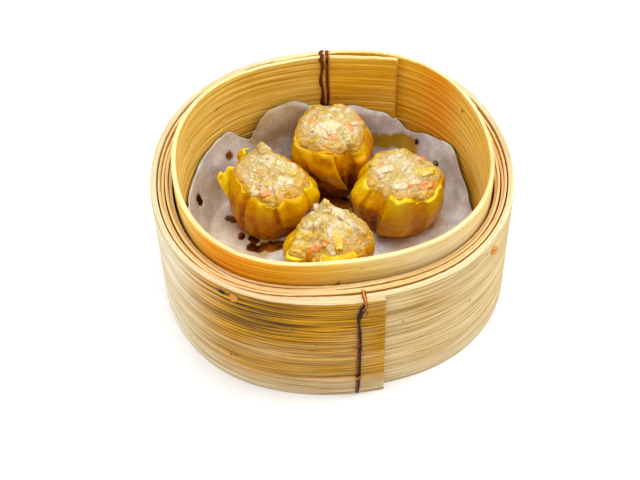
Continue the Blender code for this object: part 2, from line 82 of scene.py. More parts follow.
def soft_lamp(name, place, size, watts):
    """A square lamp of the given side that faces the basket."""
    data = bpy.data.lights.new(name, "AREA")
    data.size = size
    data.energy = watts
    lamp = bpy.data.objects.new(name, data)
    lamp.location = place
    lamp.rotation_euler = (Vector((0.0, 0.0, 0.03)) - Vector(place)).to_track_quat("-Z", "Y").to_euler()
    bpy.context.scene.collection.objects.link(lamp)


soft_lamp("lamp_top", (0.12, 0.10, 1.15), 0.75, 13.0)
soft_lamp("lamp_left", (-1.00, -0.05, 0.45), 0.50, 3.4)
soft_lamp("lamp_right", (1.00, 0.00, 0.55), 0.50, 4.2)

world = bpy.data.worlds.new("studio")
bpy.context.scene.world = world
world.use_nodes = True
world.node_tree.nodes["Background"].inputs["Color"].default_value = (1.0, 1.0, 1.0, 1.0)
world.node_tree.nodes["Background"].inputs["Strength"].default_value = 0.73


def add_node(tree, kind, settings=None, inputs=None):
    """Adds a shader node; settings are its properties ("stops" a ramp's), inputs its values or links."""
    node = tree.nodes.new("ShaderNode" + kind)
    for key, value in (settings or {}).items():
        if key == "stops":
            ramp = node.color_ramp
            while len(ramp.elements) < len(value):
                ramp.elements.new(0.5)
            for element, (place, colour) in zip(ramp.elements, value):
                element.position = place
                element.color = colour
        else:
            setattr(node, key, value)
    for key, value in (inputs or {}).items():
        if isinstance(value, bpy.types.NodeSocket):
            tree.links.new(value, node.inputs[key])
        else:
            node.inputs[key].default_value = value
    return node


def new_material(name, **values):
    """An empty Principled material with constant values on its own sockets; (material, tree, shader)."""
    material = bpy.data.materials.new(name)
    material.use_nodes = True
    shader = material.node_tree.nodes["Principled BSDF"]
    for key, value in values.items():
        shader.inputs[key.replace("_", " ")].default_value = value
    return material, material.node_tree, shader


floor_mesh = bpy.data.meshes.new("floor")
FLOOR_HALF = 3.0
floor_mesh.from_pydata([(-FLOOR_HALF, -FLOOR_HALF, 0.0), (FLOOR_HALF, -FLOOR_HALF, 0.0),
                        (FLOOR_HALF, FLOOR_HALF, 0.0), (-FLOOR_HALF, FLOOR_HALF, 0.0)], [], [(0, 1, 2, 3)])
floor_material, _, _ = new_material("matte_white_paint", Base_Color=linear("F4F4F6"), Roughness=0.6)
floor_mesh.materials.append(floor_material)
floor = bpy.data.objects.new("floor", floor_mesh)
bpy.context.scene.collection.objects.link(floor)

# ---------------------------------------------------------------- outer hoop
# One wide strip of split bamboo wound a little over one turn, its lap sewn with cane at the front.
# Bare bamboo: a hard, smooth skin with fine lengthwise fibres, pale straw with golden stretches.
OUTER_CENTRE = np.array([0.03, -0.07]) * MM
OUTER_RADIUS = 78.0 * MM
OUTER_LOBES = ((2, 0.46 * MM, 0.18 * MM), (3, -0.02 * MM, -0.51 * MM), (4, -0.98 * MM, -0.35 * MM))
OUTER_THICKNESS = 2.6 * MM
OUTER_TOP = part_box("outer_hoop")[1][2]
OUTER_START = math.radians(-120.0)
OUTER_END = math.radians(284.5)
OUTER_EASE = math.radians(80.0)
UNDER_PLY_DROP = 1.2 * MM
GAP = 0.3 * MM


def smooth_step(x):
    """0 below 0, 1 above 1, and a smooth rise between."""
    x = np.clip(x, 0.0, 1.0)
    return x * x * (3.0 - 2.0 * x)


def bump(angle, middle, half_width):
    """1 at the middle, falling smoothly to 0 at the half width to either side, both in degrees."""
    away = np.abs((angle - math.radians(middle) + math.pi) % (2.0 * math.pi) - math.pi)
    return smooth_step(1.0 - away / math.radians(half_width))


def lattice_noise(points, spacing, seed):
    """Smooth random field in -1..1: random values on a grid of that spacing, blended by smooth steps."""
    cells = points / np.asarray(spacing)
    base = np.floor(cells).astype(np.int64)
    part = cells - base
    part = part * part * (3.0 - 2.0 * part)
    table = np.random.default_rng(seed).uniform(-1.0, 1.0, 4096)
    total = np.zeros(cells.shape[:-1])
    for corner in np.ndindex(2, 2, 2):
        key = base + np.array(corner)
        index = (key[..., 0] * 73856093 ^ key[..., 1] * 19349663 ^ key[..., 2] * 83492791) & 4095
        weight = np.prod(np.where(np.array(corner) == 1, part, 1.0 - part), axis=-1)
        total += weight * table[index]
    return total


def lobed(radius, lobes, angle):
    """Mean radius plus cosine and sine lobes of a given count: a hoop a little out of round."""
    total = np.full_like(angle, radius)
    for count, cos_part, sin_part in lobes:
        total += cos_part * np.cos(count * angle) + sin_part * np.sin(count * angle)
    return total


def outer_climb(angle):
    """0 on the hidden start of the strip, 1 once it has climbed over its own thickness."""
    return smooth_step((angle - (OUTER_END - 2.0 * math.pi)) / OUTER_EASE)


def outer_hoop_radius(angle):
    """Outer face of the strip; the angle runs on from start to end, past one turn."""
    step = OUTER_THICKNESS + GAP
    return lobed(OUTER_RADIUS, OUTER_LOBES, angle) - step * (1.0 - outer_climb(angle))


def outer_hoop_thickness(angle):
    """The strip's thickness: pared down at its hidden start."""
    return OUTER_THICKNESS * (0.12 + 0.88 * smooth_step((angle - OUTER_START) / math.radians(28.0)))


def skin_grid(name, grid, closed_rows=False, closed_columns=False, capped=False, fields=None):
    """Mesh over a grid of points (rows, columns, 3), or a batch of such grids: quads between neighbours.

    closed_rows joins the last row to the first, closed_columns the last column to the first, and
    capped fills each open end row with one polygon. fields are per-point attributes of the same grid.
    """
    deep = grid.ndim
    many, (rows, columns) = int(np.prod(grid.shape[:-3])), grid.shape[-3:-1]
    index = np.arange(many * rows * columns).reshape(many, rows, columns)
    ends = np.stack([index[:, 0, ::-1], index[:, -1]], axis=1)
    if closed_rows:
        index = np.concatenate([index, index[:, :1]], axis=1)
    if closed_columns:
        index = np.concatenate([index, index[:, :, :1]], axis=2)
    quads = np.stack([index[:, :-1, :-1], index[:, :-1, 1:], index[:, 1:, 1:], index[:, 1:, :-1]], axis=-1)
    loops = [quads.ravel()]
    sizes = [np.full(quads.size // 4, 4)]
    if capped:
        loops.append(ends.ravel())
        sizes.append(np.full(2 * many, columns))
    loops, sizes = np.concatenate(loops), np.concatenate(sizes)
    mesh = bpy.data.meshes.new(name)
    mesh.vertices.add(many * rows * columns)
    mesh.vertices.foreach_set("co", np.ascontiguousarray(grid, dtype=np.float32).ravel())
    mesh.loops.add(len(loops))
    mesh.loops.foreach_set("vertex_index", loops.astype(np.int32))
    mesh.polygons.add(len(sizes))
    mesh.polygons.foreach_set("loop_start", (np.cumsum(sizes) - sizes).astype(np.int32))
    mesh.update(calc_edges=True)
    for key, values in (fields or {}).items():
        vector = values.ndim == deep
        layer = mesh.attributes.new(key, "FLOAT_VECTOR" if vector else "FLOAT", "POINT")
        layer.data.foreach_set("vector" if vector else "value",
                               np.ascontiguousarray(values, np.float32).ravel())
    edit = bmesh.new()
    edit.from_mesh(mesh)
    bmesh.ops.recalc_face_normals(edit, faces=edit.faces)
    edit.to_mesh(mesh)
    edit.free()
    mesh.shade_smooth()
    piece = bpy.data.objects.new(name, mesh)
    bpy.context.scene.collection.objects.link(piece)
    return piece


def strip_section(outer_rows, inner_rows, edge_steps, corner):
    """Closed outline of a strip's cut end: up the outer face, over the top and down the inner face.

    Returns across (0 inner face, 1 outer face), the share of the height, and the offset from that
    share, in units of the corner's radius, that rounds the four edges.
    """
    turn = np.linspace(0.0, 0.5 * math.pi, edge_steps + 1)[1:-1]
    round_in, round_out = corner * (1.0 - np.cos(turn)), corner * (1.0 - np.sin(turn))
    flat = np.ones(len(turn))
    across = [np.ones(outer_rows), 1.0 - round_in, round_out, np.zeros(inner_rows), round_in, 1.0 - round_out]
    share = [np.linspace(0.0, 1.0, outer_rows), flat, flat, np.linspace(1.0, 0.0, inner_rows), 0 * flat,
             0 * flat]
    offset = [np.zeros(outer_rows), np.sin(turn), np.cos(turn), np.zeros(inner_rows), -np.sin(turn),
              -np.cos(turn)]
    return np.concatenate(across), np.concatenate(share), np.concatenate(offset)


def bamboo_strip(name, angles, centre, outer, thickness, bottom, top, rows, closed=False, ridges=(),
                 ribs=None, edge_wear=0.12 * MM, seed=1, fields=None):
    """A strip on edge: the section carried along the angles, with lengthwise ridges on its faces.

    rows counts the outer and the inner face's rows. Each ridge set is (outer 1 or inner -1 face, height,
    pitch, run). ribs, as (height, pitch), rounds the inner face into even ribs. The top edge is a
    little worn. The field "fibre" holds (length along the strip, height, face) for the grain.
    """
    corner = 0.35 * MM
    thickness = np.broadcast_to(np.asarray(thickness, dtype=float), (len(angles),))
    across, share, offset = strip_section(rows[0], rows[1], 4, corner / thickness.max())
    run = np.concatenate([[0.0], np.cumsum(outer[1:] * np.diff(angles))])
    length = np.broadcast_to(run[:, None], (len(angles), len(across)))
    low = np.broadcast_to(np.asarray(bottom, dtype=float), (len(angles),))[:, None] + corner
    high = np.broadcast_to(np.asarray(top, dtype=float), (len(angles),))[:, None] - corner
    line = np.stack([length, 0.0 * length, 0.0 * length], -1)
    wear = edge_wear * lattice_noise(line, (2.3 * MM, 1.0, 1.0), seed)
    wear += 0.6 * edge_wear * lattice_noise(line, (0.8 * MM, 1.0, 1.0), seed + 1)
    wear += 1.5 * edge_wear * lattice_noise(line, (30 * MM, 1.0, 1.0), seed + 2)
    height = low + (high - low + wear) * share + corner * offset
    face = np.where(across > 0.5, 1.0, -1.0)
    radius = outer[:, None] - (1.0 - across) * thickness[:, None]
    spot = np.stack([length, height, face * np.ones_like(length)], axis=-1)
    on_face = np.abs(2.0 * across - 1.0) ** 4
    for ridge_face, relief, pitch, long in ridges:
        form = lattice_noise(spot, (long, pitch, 0.5), seed + 5)
        form += 0.5 * lattice_noise(spot, (0.5 * long, 0.45 * pitch, 0.5), seed + 6)
        radius = radius + ridge_face * relief * on_face * (face == ridge_face) * form
    groove = np.zeros_like(length)
    if ribs:
        drift = 1.3 * lattice_noise(spot, (120 * MM, 9 * MM, 0.5), seed + 7)
        groove = 1.0 - np.abs(np.sin(math.pi * height / ribs[1] + drift))
        worn = 0.6 + 0.6 * lattice_noise(spot, (50 * MM, 4 * MM, 0.5), seed + 8)
        groove = groove ** 2 * (face < 0) * worn
        radius = radius + ribs[0] * groove * on_face
    points = np.stack([centre[0] + radius * np.cos(angles)[:, None],
                       centre[1] + radius * np.sin(angles)[:, None], height], axis=-1)
    cut = np.clip(1.0 - np.abs(2.0 * across - 1.0) ** 6, 0.0, 1.0) * np.ones_like(length)
    layers = {"fibre": spot, "cut": cut, "groove": np.clip(groove, 0.0, 1.0)}
    for key, rule in (fields or {}).items():
        layers[key] = rule(angles[:, None] * np.ones_like(length), height, face * np.ones_like(length))
    return skin_grid(name, points, closed_rows=closed, closed_columns=True, capped=not closed, fields=layers)


def split_bamboo(name, skin, gold, pale, cut, roughness, fibre_pitch, band_pitch, contrast):
    """Bare split bamboo: fine fibres and broader bands along the strip, golden where the field "gold"
    says, paler where the fading field says (faded bamboo, and on the outer strip also painted light),
    orange where "amber", smoke brown where "dusk" and nearly black where "mark" say, darker in its
    grooves as painted shade, and pale and fibrous on cut edges.

    skin, gold, pale and cut are (dark, light) colours of the fibres; contrast is from 0 to 1. The real
    fibres are a few tenths of a millimetre wide, too fine to show, so fibre_pitch draws them coarser.
    """
    material, tree, shader = new_material(name, Roughness=roughness, Specular_IOR_Level=0.10)
    fibre = add_node(tree, "Attribute", {"attribute_name": "fibre"}).outputs["Vector"]
    field = {key: add_node(tree, "Attribute", {"attribute_name": key}).outputs["Fac"]
             for key in ("gold", "bleach", "amber", "dusk", "groove", "cut", "mark")}
    # Noises drawn out along the strip, each with the length, width and detail of its streaks, and the
    # same noise steepened: its low and high, and what they become.
    noise, steep = {}, {}
    for key, run, pitch, detail, low, high, start, end in (
            ("fine", 45 * MM, fibre_pitch, 3.0, 0.35, 0.6, 0.0, 1.0),
            ("band", 170 * MM, band_pitch, 2.0, 0.35, 0.65, 0.6, 1.3),
            ("cloud", 60 * MM, 18 * MM, 2.0, 0.3, 0.7, 0.55, 1.25),
            ("drift", 110 * MM, 6 * MM, 2.0, 0.0, 1.0, 0.0, 7.0),
            ("break", 28 * MM, 0.9 * fibre_pitch, 2.0, 0.38, 0.62, 0.0, 1.0)):
        scaled = add_node(tree, "VectorMath", {"operation": "MULTIPLY"},
                          {0: fibre, 1: (1.0 / run, 1.0 / pitch, 3.0)})
        noise[key] = add_node(tree, "TexNoise", None,
                              {"Vector": scaled.outputs[0], "Scale": 1.0, "Detail": detail,
                               "Roughness": 0.62}).outputs["Fac"]
        steep[key] = add_node(tree, "MapRange", None,
                              {"Value": noise[key], "From Min": low, "From Max": high, "To Min": start,
                               "To Max": end}).outputs[0]
    # Dark lines between the fibres: a zigzag up the strip that wanders and breaks off here and there.
    height = add_node(tree, "SeparateXYZ", None, {0: fibre}).outputs[1]
    rows = add_node(tree, "Math", {"operation": "MULTIPLY_ADD"},
                    {0: height, 1: 1.0 / (1.15 * fibre_pitch), 2: steep["drift"]})
    zigzag = add_node(tree, "Math", {"operation": "PINGPONG"}, {0: rows.outputs[0], 1: 0.5})
    valley = add_node(tree, "MapRange", None,
                      {"Value": zigzag.outputs[0], "From Min": 0.04, "From Max": 0.24, "To Min": 1.0,
                       "To Max": 0.0})
    line = add_node(tree, "Math", {"operation": "MULTIPLY"}, {0: valley.outputs[0], 1: steep["break"]})
    mixed = add_node(tree, "Mix", {"data_type": "FLOAT"}, {0: 0.20, 2: noise["fine"], 3: noise["band"]})
    plain = add_node(tree, "MapRange", None,
                     {"Value": mixed.outputs[0], "From Min": 0.5 - 0.17 / (0.4 + contrast),
                      "From Max": 0.5 + 0.13 / (0.4 + contrast)})
    tone = add_node(tree, "Math", {"operation": "MULTIPLY_ADD", "use_clamp": True},
                    {0: line.outputs[0], 1: -0.75 * contrast, 2: plain.outputs[0]}).outputs[0]
    sooty = add_node(tree, "MapRange", None,
                     {"Value": tone, "From Min": 0.2, "From Max": 0.9, "To Min": 1.3, "To Max": 0.0})
    # A few small brown specks: one cell in fourteen holds one.
    spot = add_node(tree, "VectorMath", {"operation": "MULTIPLY"},
                    {0: fibre, 1: (1.0 / (7.0 * MM), 1.0 / (2.6 * MM), 3.0)})
    speck = add_node(tree, "TexVoronoi", None, {"Vector": spot.outputs[0], "Scale": 1.0})
    chance = add_node(tree, "SeparateColor", None, {0: speck.outputs["Color"]})
    rare = add_node(tree, "Math", {"operation": "GREATER_THAN"}, {0: chance.outputs[0], 1: 0.93})
    dot = add_node(tree, "MapRange", None,
                   {"Value": speck.outputs["Distance"], "From Min": 0.05, "From Max": 0.14,
                    "To Min": 0.75, "To Max": 0.0})
    # The colours, one over another: (where, how strongly, the noise between dark and light, the two).
    colour = add_node(tree, "Mix", {"data_type": "RGBA"}, {0: tone, 6: linear(skin[0]), 7: linear(skin[1])})
    # Of these, the groove colour is painted shade and the fading colour is partly painted light.
    for share, strength, between, (dark, light) in (
            (field["gold"], steep["cloud"], tone, gold), (field["bleach"], steep["band"], tone, pale),
            (field["amber"], 1.0, tone, ("CC6C06", "FAA626")),
            (field["dusk"], sooty.outputs[0], tone, ("3A2404", "3A2404")),
            (field["groove"], 0.6, tone, (gold[0], gold[0])), (field["cut"], 1.0, steep["fine"], cut),
            (rare.outputs[0], dot.outputs[0], tone, ("5A3510", "5A3510")),
            (field["mark"], 1.0, tone, ("1C1004", "1C1004"))):
        there = add_node(tree, "Math", {"operation": "MULTIPLY", "use_clamp": True},
                         {0: share, 1: strength})
        over = add_node(tree, "Mix", {"data_type": "RGBA"}, {0: between, 6: linear(dark), 7: linear(light)})
        colour = add_node(tree, "Mix", {"data_type": "RGBA"},
                          {0: there.outputs[0], 6: colour.outputs[2], 7: over.outputs[2]})
    tree.links.new(colour.outputs[2], shader.inputs["Base Color"])
    relief = add_node(tree, "Bump", None, {"Height": tone, "Distance": 0.22 * MM, "Strength": 0.6})
    tree.links.new(relief.outputs[0], shader.inputs["Normal"])
    return material


def strip_angles(start, end, step_degrees=0.75):
    """Evenly spaced angles from start to end."""
    return np.linspace(start, end, int(round((end - start) / math.radians(step_degrees))) + 1)


def outer_gold(angle, height, side):
    """Golden stretches of the outer strip: from its sewn end round the front to the left, deepest in the
    upper half left of the tie, paler at its foot, and weaker ones past the sewn end, at the right and at
    the far left."""
    late = smooth_step((angle - math.radians(205.0)) / math.radians(30.0))
    deep = bump(angle, 243.0, 34.0) * smooth_step((height - 18 * MM) / (30 * MM))
    lap = smooth_step((angle - math.radians(274.0)) / math.radians(3.0))
    foot = 1.0 - 0.55 * smooth_step((22 * MM - height) / (20 * MM)) * (1.0 - 0.5 * lap)
    past = 0.35 * bump(angle, -62.0, 22.0) + 0.75 * bump(angle, 6.0, 44.0) + 0.4 * bump(angle, -166.0, 16.0)
    return np.clip((0.98 * late + 0.5 * deep) * foot + past, 0.0, 1.3)


def outer_fade_and_glow(angle, height, side):
    """Paler stretches: the left side, partly faded bamboo and partly a painted reflection of light, and
    the foot of the strip all round, which is painted light thrown up from below.
    """
    left = bump(angle, 200.0, 40.0)
    # The left term is partly fading and partly painted reflection; the foot term is painted light from below.
    return np.clip(0.75 * left + 0.30 * smooth_step((16 * MM - height) / (14 * MM)), 0.0, 1.0)


def outer_dusk(angle, height, side):
    """Smoke brown fibres: a broad stain left of the front, in the upper half."""
    broad = bump(angle, 246.0, 21.0) * smooth_step((height - 32 * MM) / (15 * MM))
    broad *= 1.0 - 0.55 * smooth_step((height - 52 * MM) / (6 * MM))
    return np.where(side > 0, broad, 0.0)


HOOP_RADIUS_MM = 75.0


def dark_marks(angle, height, side, spots):
    """Nail holes and knots, each (face, degrees, height, length, width) with sizes in mm."""
    marks = np.zeros_like(angle)
    for face, degree, tall, long, high in spots:
        turned = (angle - math.radians(degree) + math.pi) % (2.0 * math.pi) - math.pi
        away = np.hypot(turned * HOOP_RADIUS_MM / long, (height / MM - tall) / high)
        marks = np.maximum(marks, smooth_step(1.5 - away) * (side == face))
    return marks


def outer_marks(angle, height, side):
    """A nail hole left of the peg and a few small knots."""
    return dark_marks(angle, height, side, (
        (1, 235.0, 57.0, 1.7, 1.4), (1, 236.0, 16.5, 0.5, 1.1), (1, 237.5, 17.3, 0.7, 0.5),
        (1, 316.0, 33.0, 0.4, 0.8), (1, 257.0, 44.0, 0.5, 0.4), (1, 322.0, 55.0, 0.8, 0.3),
        (1, 291.0, 40.0, 0.5, 0.3)))


outer_angles = strip_angles(OUTER_START, OUTER_END)
outer_hoop = bamboo_strip("outer_hoop_strip", outer_angles, OUTER_CENTRE, outer_hoop_radius(outer_angles),
                          outer_hoop_thickness(outer_angles), 0.0,
                          OUTER_TOP - UNDER_PLY_DROP * (1.0 - outer_climb(outer_angles)), rows=(110, 14),
                          ridges=((1, 0.06 * MM, 1.6 * MM, 90 * MM),), seed=11,
                          fields={"gold": outer_gold, "bleach": outer_fade_and_glow, "dusk": outer_dusk,
                                  "mark": outer_marks})
outer_bamboo = split_bamboo("split_bamboo_outer_skin", ("AA8A4A", "E2CFA0"), ("6E4000", "D69C10"),
                            ("BDAE84", "EEE8D8"), ("C8AE7C", "E8D8B6"), 0.6, 0.9 * MM, 4.0 * MM, 0.85)
outer_hoop.data.materials.append(outer_bamboo)
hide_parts("outer_hoop")
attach(outer_hoop, "root")

# ---------------------------------------------------------------- inner hoop
# A thinner strip that stands 10 mm above the outer one. Its pith side faces inwards and shows broad
# golden bands; the skin side shows for 10 mm above the outer hoop. Same bamboo, darker from steam.
INNER_CENTRE = OUTER_CENTRE + np.array([-0.44, -0.08]) * MM
INNER_RADIUS = 67.1 * MM
INNER_LOBES = ((2, 2.13 * MM, 0.81 * MM), (3, 0.02 * MM, -0.17 * MM), (4, -1.37 * MM, -0.99 * MM))
INNER_THICKNESS = 2.0 * MM
INNER_START = math.radians(61.0)
INNER_LAP_END = math.radians(112.0)
CHORD_DIP = 1.6 * MM
CHORD_SPAN = math.radians(30.0)
INNER_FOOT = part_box("inner_hoop")[0][2]
INNER_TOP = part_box("inner_hoop")[1][2]


def inner_hoop_radius(angle):
    """Outer face of the inner strip, which works its way outwards by one thickness a turn."""
    step = INNER_THICKNESS + GAP
    climb = (angle - INNER_LAP_END) / (INNER_START + 2.0 * math.pi - INNER_LAP_END)
    straight = np.clip((angle - INNER_START) / CHORD_SPAN, 0.0, 1.0)
    dip = CHORD_DIP * np.sin(math.pi * straight)
    return lobed(INNER_RADIUS, INNER_LOBES, angle) + step * (np.clip(climb, 0.0, 1.0) - 0.5) - dip


def inner_hoop_inside(angle):
    """Inner face of the innermost ply, for any angle."""
    wrapped = (angle - INNER_START) % (2.0 * math.pi) + INNER_START
    return inner_hoop_radius(wrapped) - INNER_THICKNESS


def inner_hoop_outside(angle):
    """Outer face of the outermost ply, for any angle."""
    wrapped = (angle - INNER_LAP_END) % (2.0 * math.pi) + INNER_LAP_END
    return inner_hoop_radius(wrapped)


def inner_gold(angle, height, side):
    """Golden to orange: all the inside, deepest right of the lap, deeper low on the wall as painted shade
    and paler on the left wall as painted light; outside, a patch at the front left."""
    turned = angle % (2.0 * math.pi)
    past_lap = smooth_step((angle - math.radians(385.0)) / math.radians(20.0))
    lap = smooth_step((math.radians(92.0) - angle) / math.radians(6.0))
    low = smooth_step((46 * MM - height) / (28 * MM))
    left = bump(turned, 160.0, 45.0)
    # low paints shade low on the wall; left paints light on the left wall by taking gold away.
    inside = 0.45 + 0.5 * past_lap + 0.45 * lap + 0.30 * low - 0.30 * left
    patch = bump(turned, 236.0, 30.0)
    front = bump(turned, 268.0, 40.0)
    outside = 0.10 + 1.2 * patch + 0.6 * front
    return np.clip(np.where(side < 0, inside, outside), 0.0, 1.3)


def inner_bleach(angle, height, side):
    """The inner strip is hardly faded, only on its outer face at the right."""
    return np.where(side > 0, 0.75 * bump(angle, 312.0, 50.0), 0.0)


def inner_amber(angle, height, side):
    """An orange stain on the outer face at the front left, and orange right of the lap inside."""
    turned = angle % (2.0 * math.pi)
    patch = bump(turned, 232.0, 28.0) + 0.35 * bump(turned, 256.0, 20.0)
    deep = bump(angle, 403.0, 18.0) * 0.75
    return np.clip(np.where(side > 0, 0.9 * patch, deep), 0.0, 1.0)


def inner_marks(angle, height, side):
    """A small nail hole in the outer face and two knots in the inner one."""
    return dark_marks(angle, height, side, (
        (1, 271.0, 57.6, 1.1, 1.1), (-1, 28.0, 61.0, 0.7, 0.6), (-1, 140.0, 57.0, 1.6, 0.5)))


inner_angles = strip_angles(INNER_START, INNER_LAP_END + 2.0 * math.pi, 1.0)
inner_hoop = bamboo_strip("inner_hoop_strip", inner_angles, INNER_CENTRE, inner_hoop_radius(inner_angles),
                          INNER_THICKNESS, INNER_FOOT, INNER_TOP, rows=(40, 150),
                          ridges=((1, 0.05 * MM, 1.1 * MM, 60 * MM), (-1, 0.05 * MM, 1.2 * MM, 80 * MM)),
                          ribs=(0.45 * MM, 3.7 * MM), seed=23,
                          fields={"gold": inner_gold, "bleach": inner_bleach, "amber": inner_amber,
                                  "mark": inner_marks})
inner_bamboo = split_bamboo("split_bamboo_pith_side", ("D0A238", "F6DA80"), ("C68A08", "F8C42C"),
                            ("CDB47C", "EBDCB4"), ("D2B070", "EEDCB2"), 0.42, 1.3 * MM, 4.0 * MM, 0.55)
inner_hoop.data.materials.append(inner_bamboo)
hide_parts("inner_hoop")
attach(inner_hoop, "root")

# ---------------------------------------------------------------- filler strips between the hoops
# Two thinner strips wound between the hoops to wedge them, each in two plies; only their cut top edges
# show, golden with dark gaps. Bare bamboo, rougher where it was split.


def outer_hoop_inside(angle):
    """Inner face of the innermost ply of the outer hoop, for any angle."""
    wrapped = (angle - OUTER_START) % (2.0 * math.pi) + OUTER_START
    return outer_hoop_radius(wrapped) - outer_hoop_thickness(wrapped)


def filler_gold(angle, height, side):
    """Golden faces; the right side of the basket is the most orange."""
    return 0.55 + 0.5 * bump(angle % (2.0 * math.pi), 350.0, 60.0)


def filler_amber(angle, height, side):
    """Orange at the front left and along the right."""
    turned = angle % (2.0 * math.pi)
    return 0.6 * bump(turned, 245.0, 40.0) + 0.5 * bump(turned, 345.0, 55.0)


FILLER_COLUMNS = 480
round_angles = np.arange(FILLER_COLUMNS) * 2.0 * math.pi / FILLER_COLUMNS
filler_bamboo = split_bamboo("split_bamboo_cut_edge", ("B27E22", "E2B85C"), ("A86408", "DA9A24"),
                             ("CDB47C", "EBDCB4"), ("C49A48", "F0E0B0"), 0.5, 0.8 * MM, 2.4 * MM, 0.6)
inner_limit = inner_hoop_outside(round_angles) + 0.45 * MM
outer_limit = outer_hoop_inside(round_angles) - 0.35 * MM
outer_limit = np.mean([np.roll(outer_limit, step) for step in range(-8, 9)], axis=0) - 0.1 * MM
offset = (INNER_CENTRE - OUTER_CENTRE) @ np.stack([np.cos(round_angles), np.sin(round_angles)])
room = outer_limit - offset - inner_limit
for filler_name, ply, low_share, high_share, drop, seed in (
        ("filler_outer", "outer", 0.79, 0.98, 0.7, 31), ("filler_outer", "second", 0.55, 0.75, 1.5, 33),
        ("filler_inner", "third", 0.30, 0.51, 1.0, 37), ("filler_inner", "inner", 0.05, 0.26, 2.0, 39)):
    drift = 0.02 * np.sin(2.0 * round_angles + seed) + 0.02 * np.sin(5.0 * round_angles + 2.0 * seed)
    drift *= high_share < 0.9
    face = inner_limit + room * (high_share + drift)
    thickness = np.clip(room * (high_share - low_share), 0.5 * MM, 3.2 * MM)
    sag = (drop + 0.3 * np.sin(round_angles * 2.0 + seed) + 0.25 * np.sin(round_angles * 5.0 + seed)) * MM
    strip = bamboo_strip(f"{filler_name}_{ply}_ply", round_angles, INNER_CENTRE, face, thickness,
                         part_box(filler_name)[0][2], OUTER_TOP - sag, rows=(8, 8), closed=True,
                         edge_wear=0.10 * MM, seed=seed, fields={"gold": filler_gold, "amber": filler_amber})
    strip.data.materials.append(filler_bamboo)
    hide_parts(filler_name)
    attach(strip, "root")

# ---------------------------------------------------------------- base ring, floor slats and battens
# The plain parts under the paper: a short ring at the foot, nine slats and two battens across them.
# Their shapes are the solids' own; only the bamboo is better here.
floor_bamboo, tree, shader = new_material("planed_bamboo_slats", Roughness=0.5)
place = add_node(tree, "TexCoord").outputs["Object"]
stretched = add_node(tree, "VectorMath", {"operation": "MULTIPLY"},
                     {0: place, 1: (1.0 / (40 * MM), 1.0 / (0.9 * MM), 1.0 / (0.9 * MM))})
grain = add_node(tree, "TexNoise", None, {"Vector": stretched.outputs[0], "Scale": 1.0, "Detail": 3.0})
colour = add_node(tree, "Mix", {"data_type": "RGBA"},
                  {0: grain.outputs["Fac"], 6: linear("8A5010"), 7: linear("D08A38")})
tree.links.new(colour.outputs[2], shader.inputs["Base Color"])
relief = add_node(tree, "Bump", None, {"Height": grain.outputs["Fac"], "Distance": 0.2 * MM})
tree.links.new(relief.outputs[0], shader.inputs["Normal"])
for node_name in ["base_ring"] + [f"slat_{i}" for i in range(1, 10)] + ["batten_1", "batten_2"]:
    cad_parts[node_name].data.materials[0] = floor_bamboo

# ---------------------------------------------------------------- pegs
# Two bamboo pins driven through the outer hoop; their round, cut ends stand a little out of the skin.
# Each pin: its angle on the hoop, its height, its radius, and how far its end stands out.
PEGS = {"peg_left": (math.radians(-120.9), 56.8 * MM, 1.75 * MM, 1.0 * MM),
        "peg_right": (math.radians(-33.8), 52.6 * MM, 1.8 * MM, 1.0 * MM)}


def hoop_frame(angle):
    """Unit vectors out of the hoop and along it, at an angle."""
    out = np.stack([np.cos(angle), np.sin(angle), 0.0 * angle], axis=-1)
    along = np.stack([-np.sin(angle), np.cos(angle), 0.0 * angle], axis=-1)
    return out, along


def outer_hoop_place(angle, height, stand):
    """A point that stands a distance off the outer hoop's outermost face."""
    wrapped = (angle - (OUTER_END - 2.0 * math.pi)) % (2.0 * math.pi) + OUTER_END - 2.0 * math.pi
    out, _ = hoop_frame(angle)
    point = (outer_hoop_radius(wrapped) + stand)[..., None] * out
    point[..., 2] = height
    return point + np.array([OUTER_CENTRE[0], OUTER_CENTRE[1], 0.0])


# Radius and distance out of the skin, as shares of the pin's own, from its hidden end to its middle.
PEG_PROFILE = np.array([(1.0, -0.6), (1.0, 0.0), (1.0, 0.72), (0.92, 0.9), (0.75, 0.98), (0.45, 0.93),
                        (0.12, 0.9)])
pin_bamboo = split_bamboo("cut_bamboo_pin", ("A8702A", "E6C080"), ("B06D12", "D99B34"), ("CDB47C", "EBDCB4"),
                          ("9A4E10", "E8963C"), 0.5, 0.3 * MM, 0.8 * MM, 0.5)
for peg_name, (angle, height, radius, stand) in PEGS.items():
    out, along = hoop_frame(np.array(angle))
    turn = np.arange(28) * 2.0 * math.pi / 28
    ragged = 1.0 + 0.06 * np.sin(3 * turn + 1.0) + 0.05 * np.sin(7 * turn)
    across = (PEG_PROFILE[:, :1] * radius * ragged)[..., None]
    circle = np.cos(turn)[:, None] * along + np.sin(turn)[:, None] * np.array([0.0, 0.0, 1.0])
    middle = outer_hoop_place(np.array(angle), height, GAP)
    grid = middle + across * circle + (PEG_PROFILE[:, 1] * stand)[:, None, None] * out
    peg = skin_grid(peg_name + "_pin", grid, closed_columns=True, capped=True,
                    fields={"fibre": grid, "cut": np.ones(grid.shape[:2]) * (PEG_PROFILE[:, 1:] > 0.5)})
    peg.data.materials.append(pin_bamboo)
    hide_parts(peg_name)
    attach(peg, "root")

# ---------------------------------------------------------------- outer tie
# Two split cane strands sewn over the rim and down the front lap, one brown and one nearly black, with
# knots where they were drawn tight and orange frayed fibres beside them.


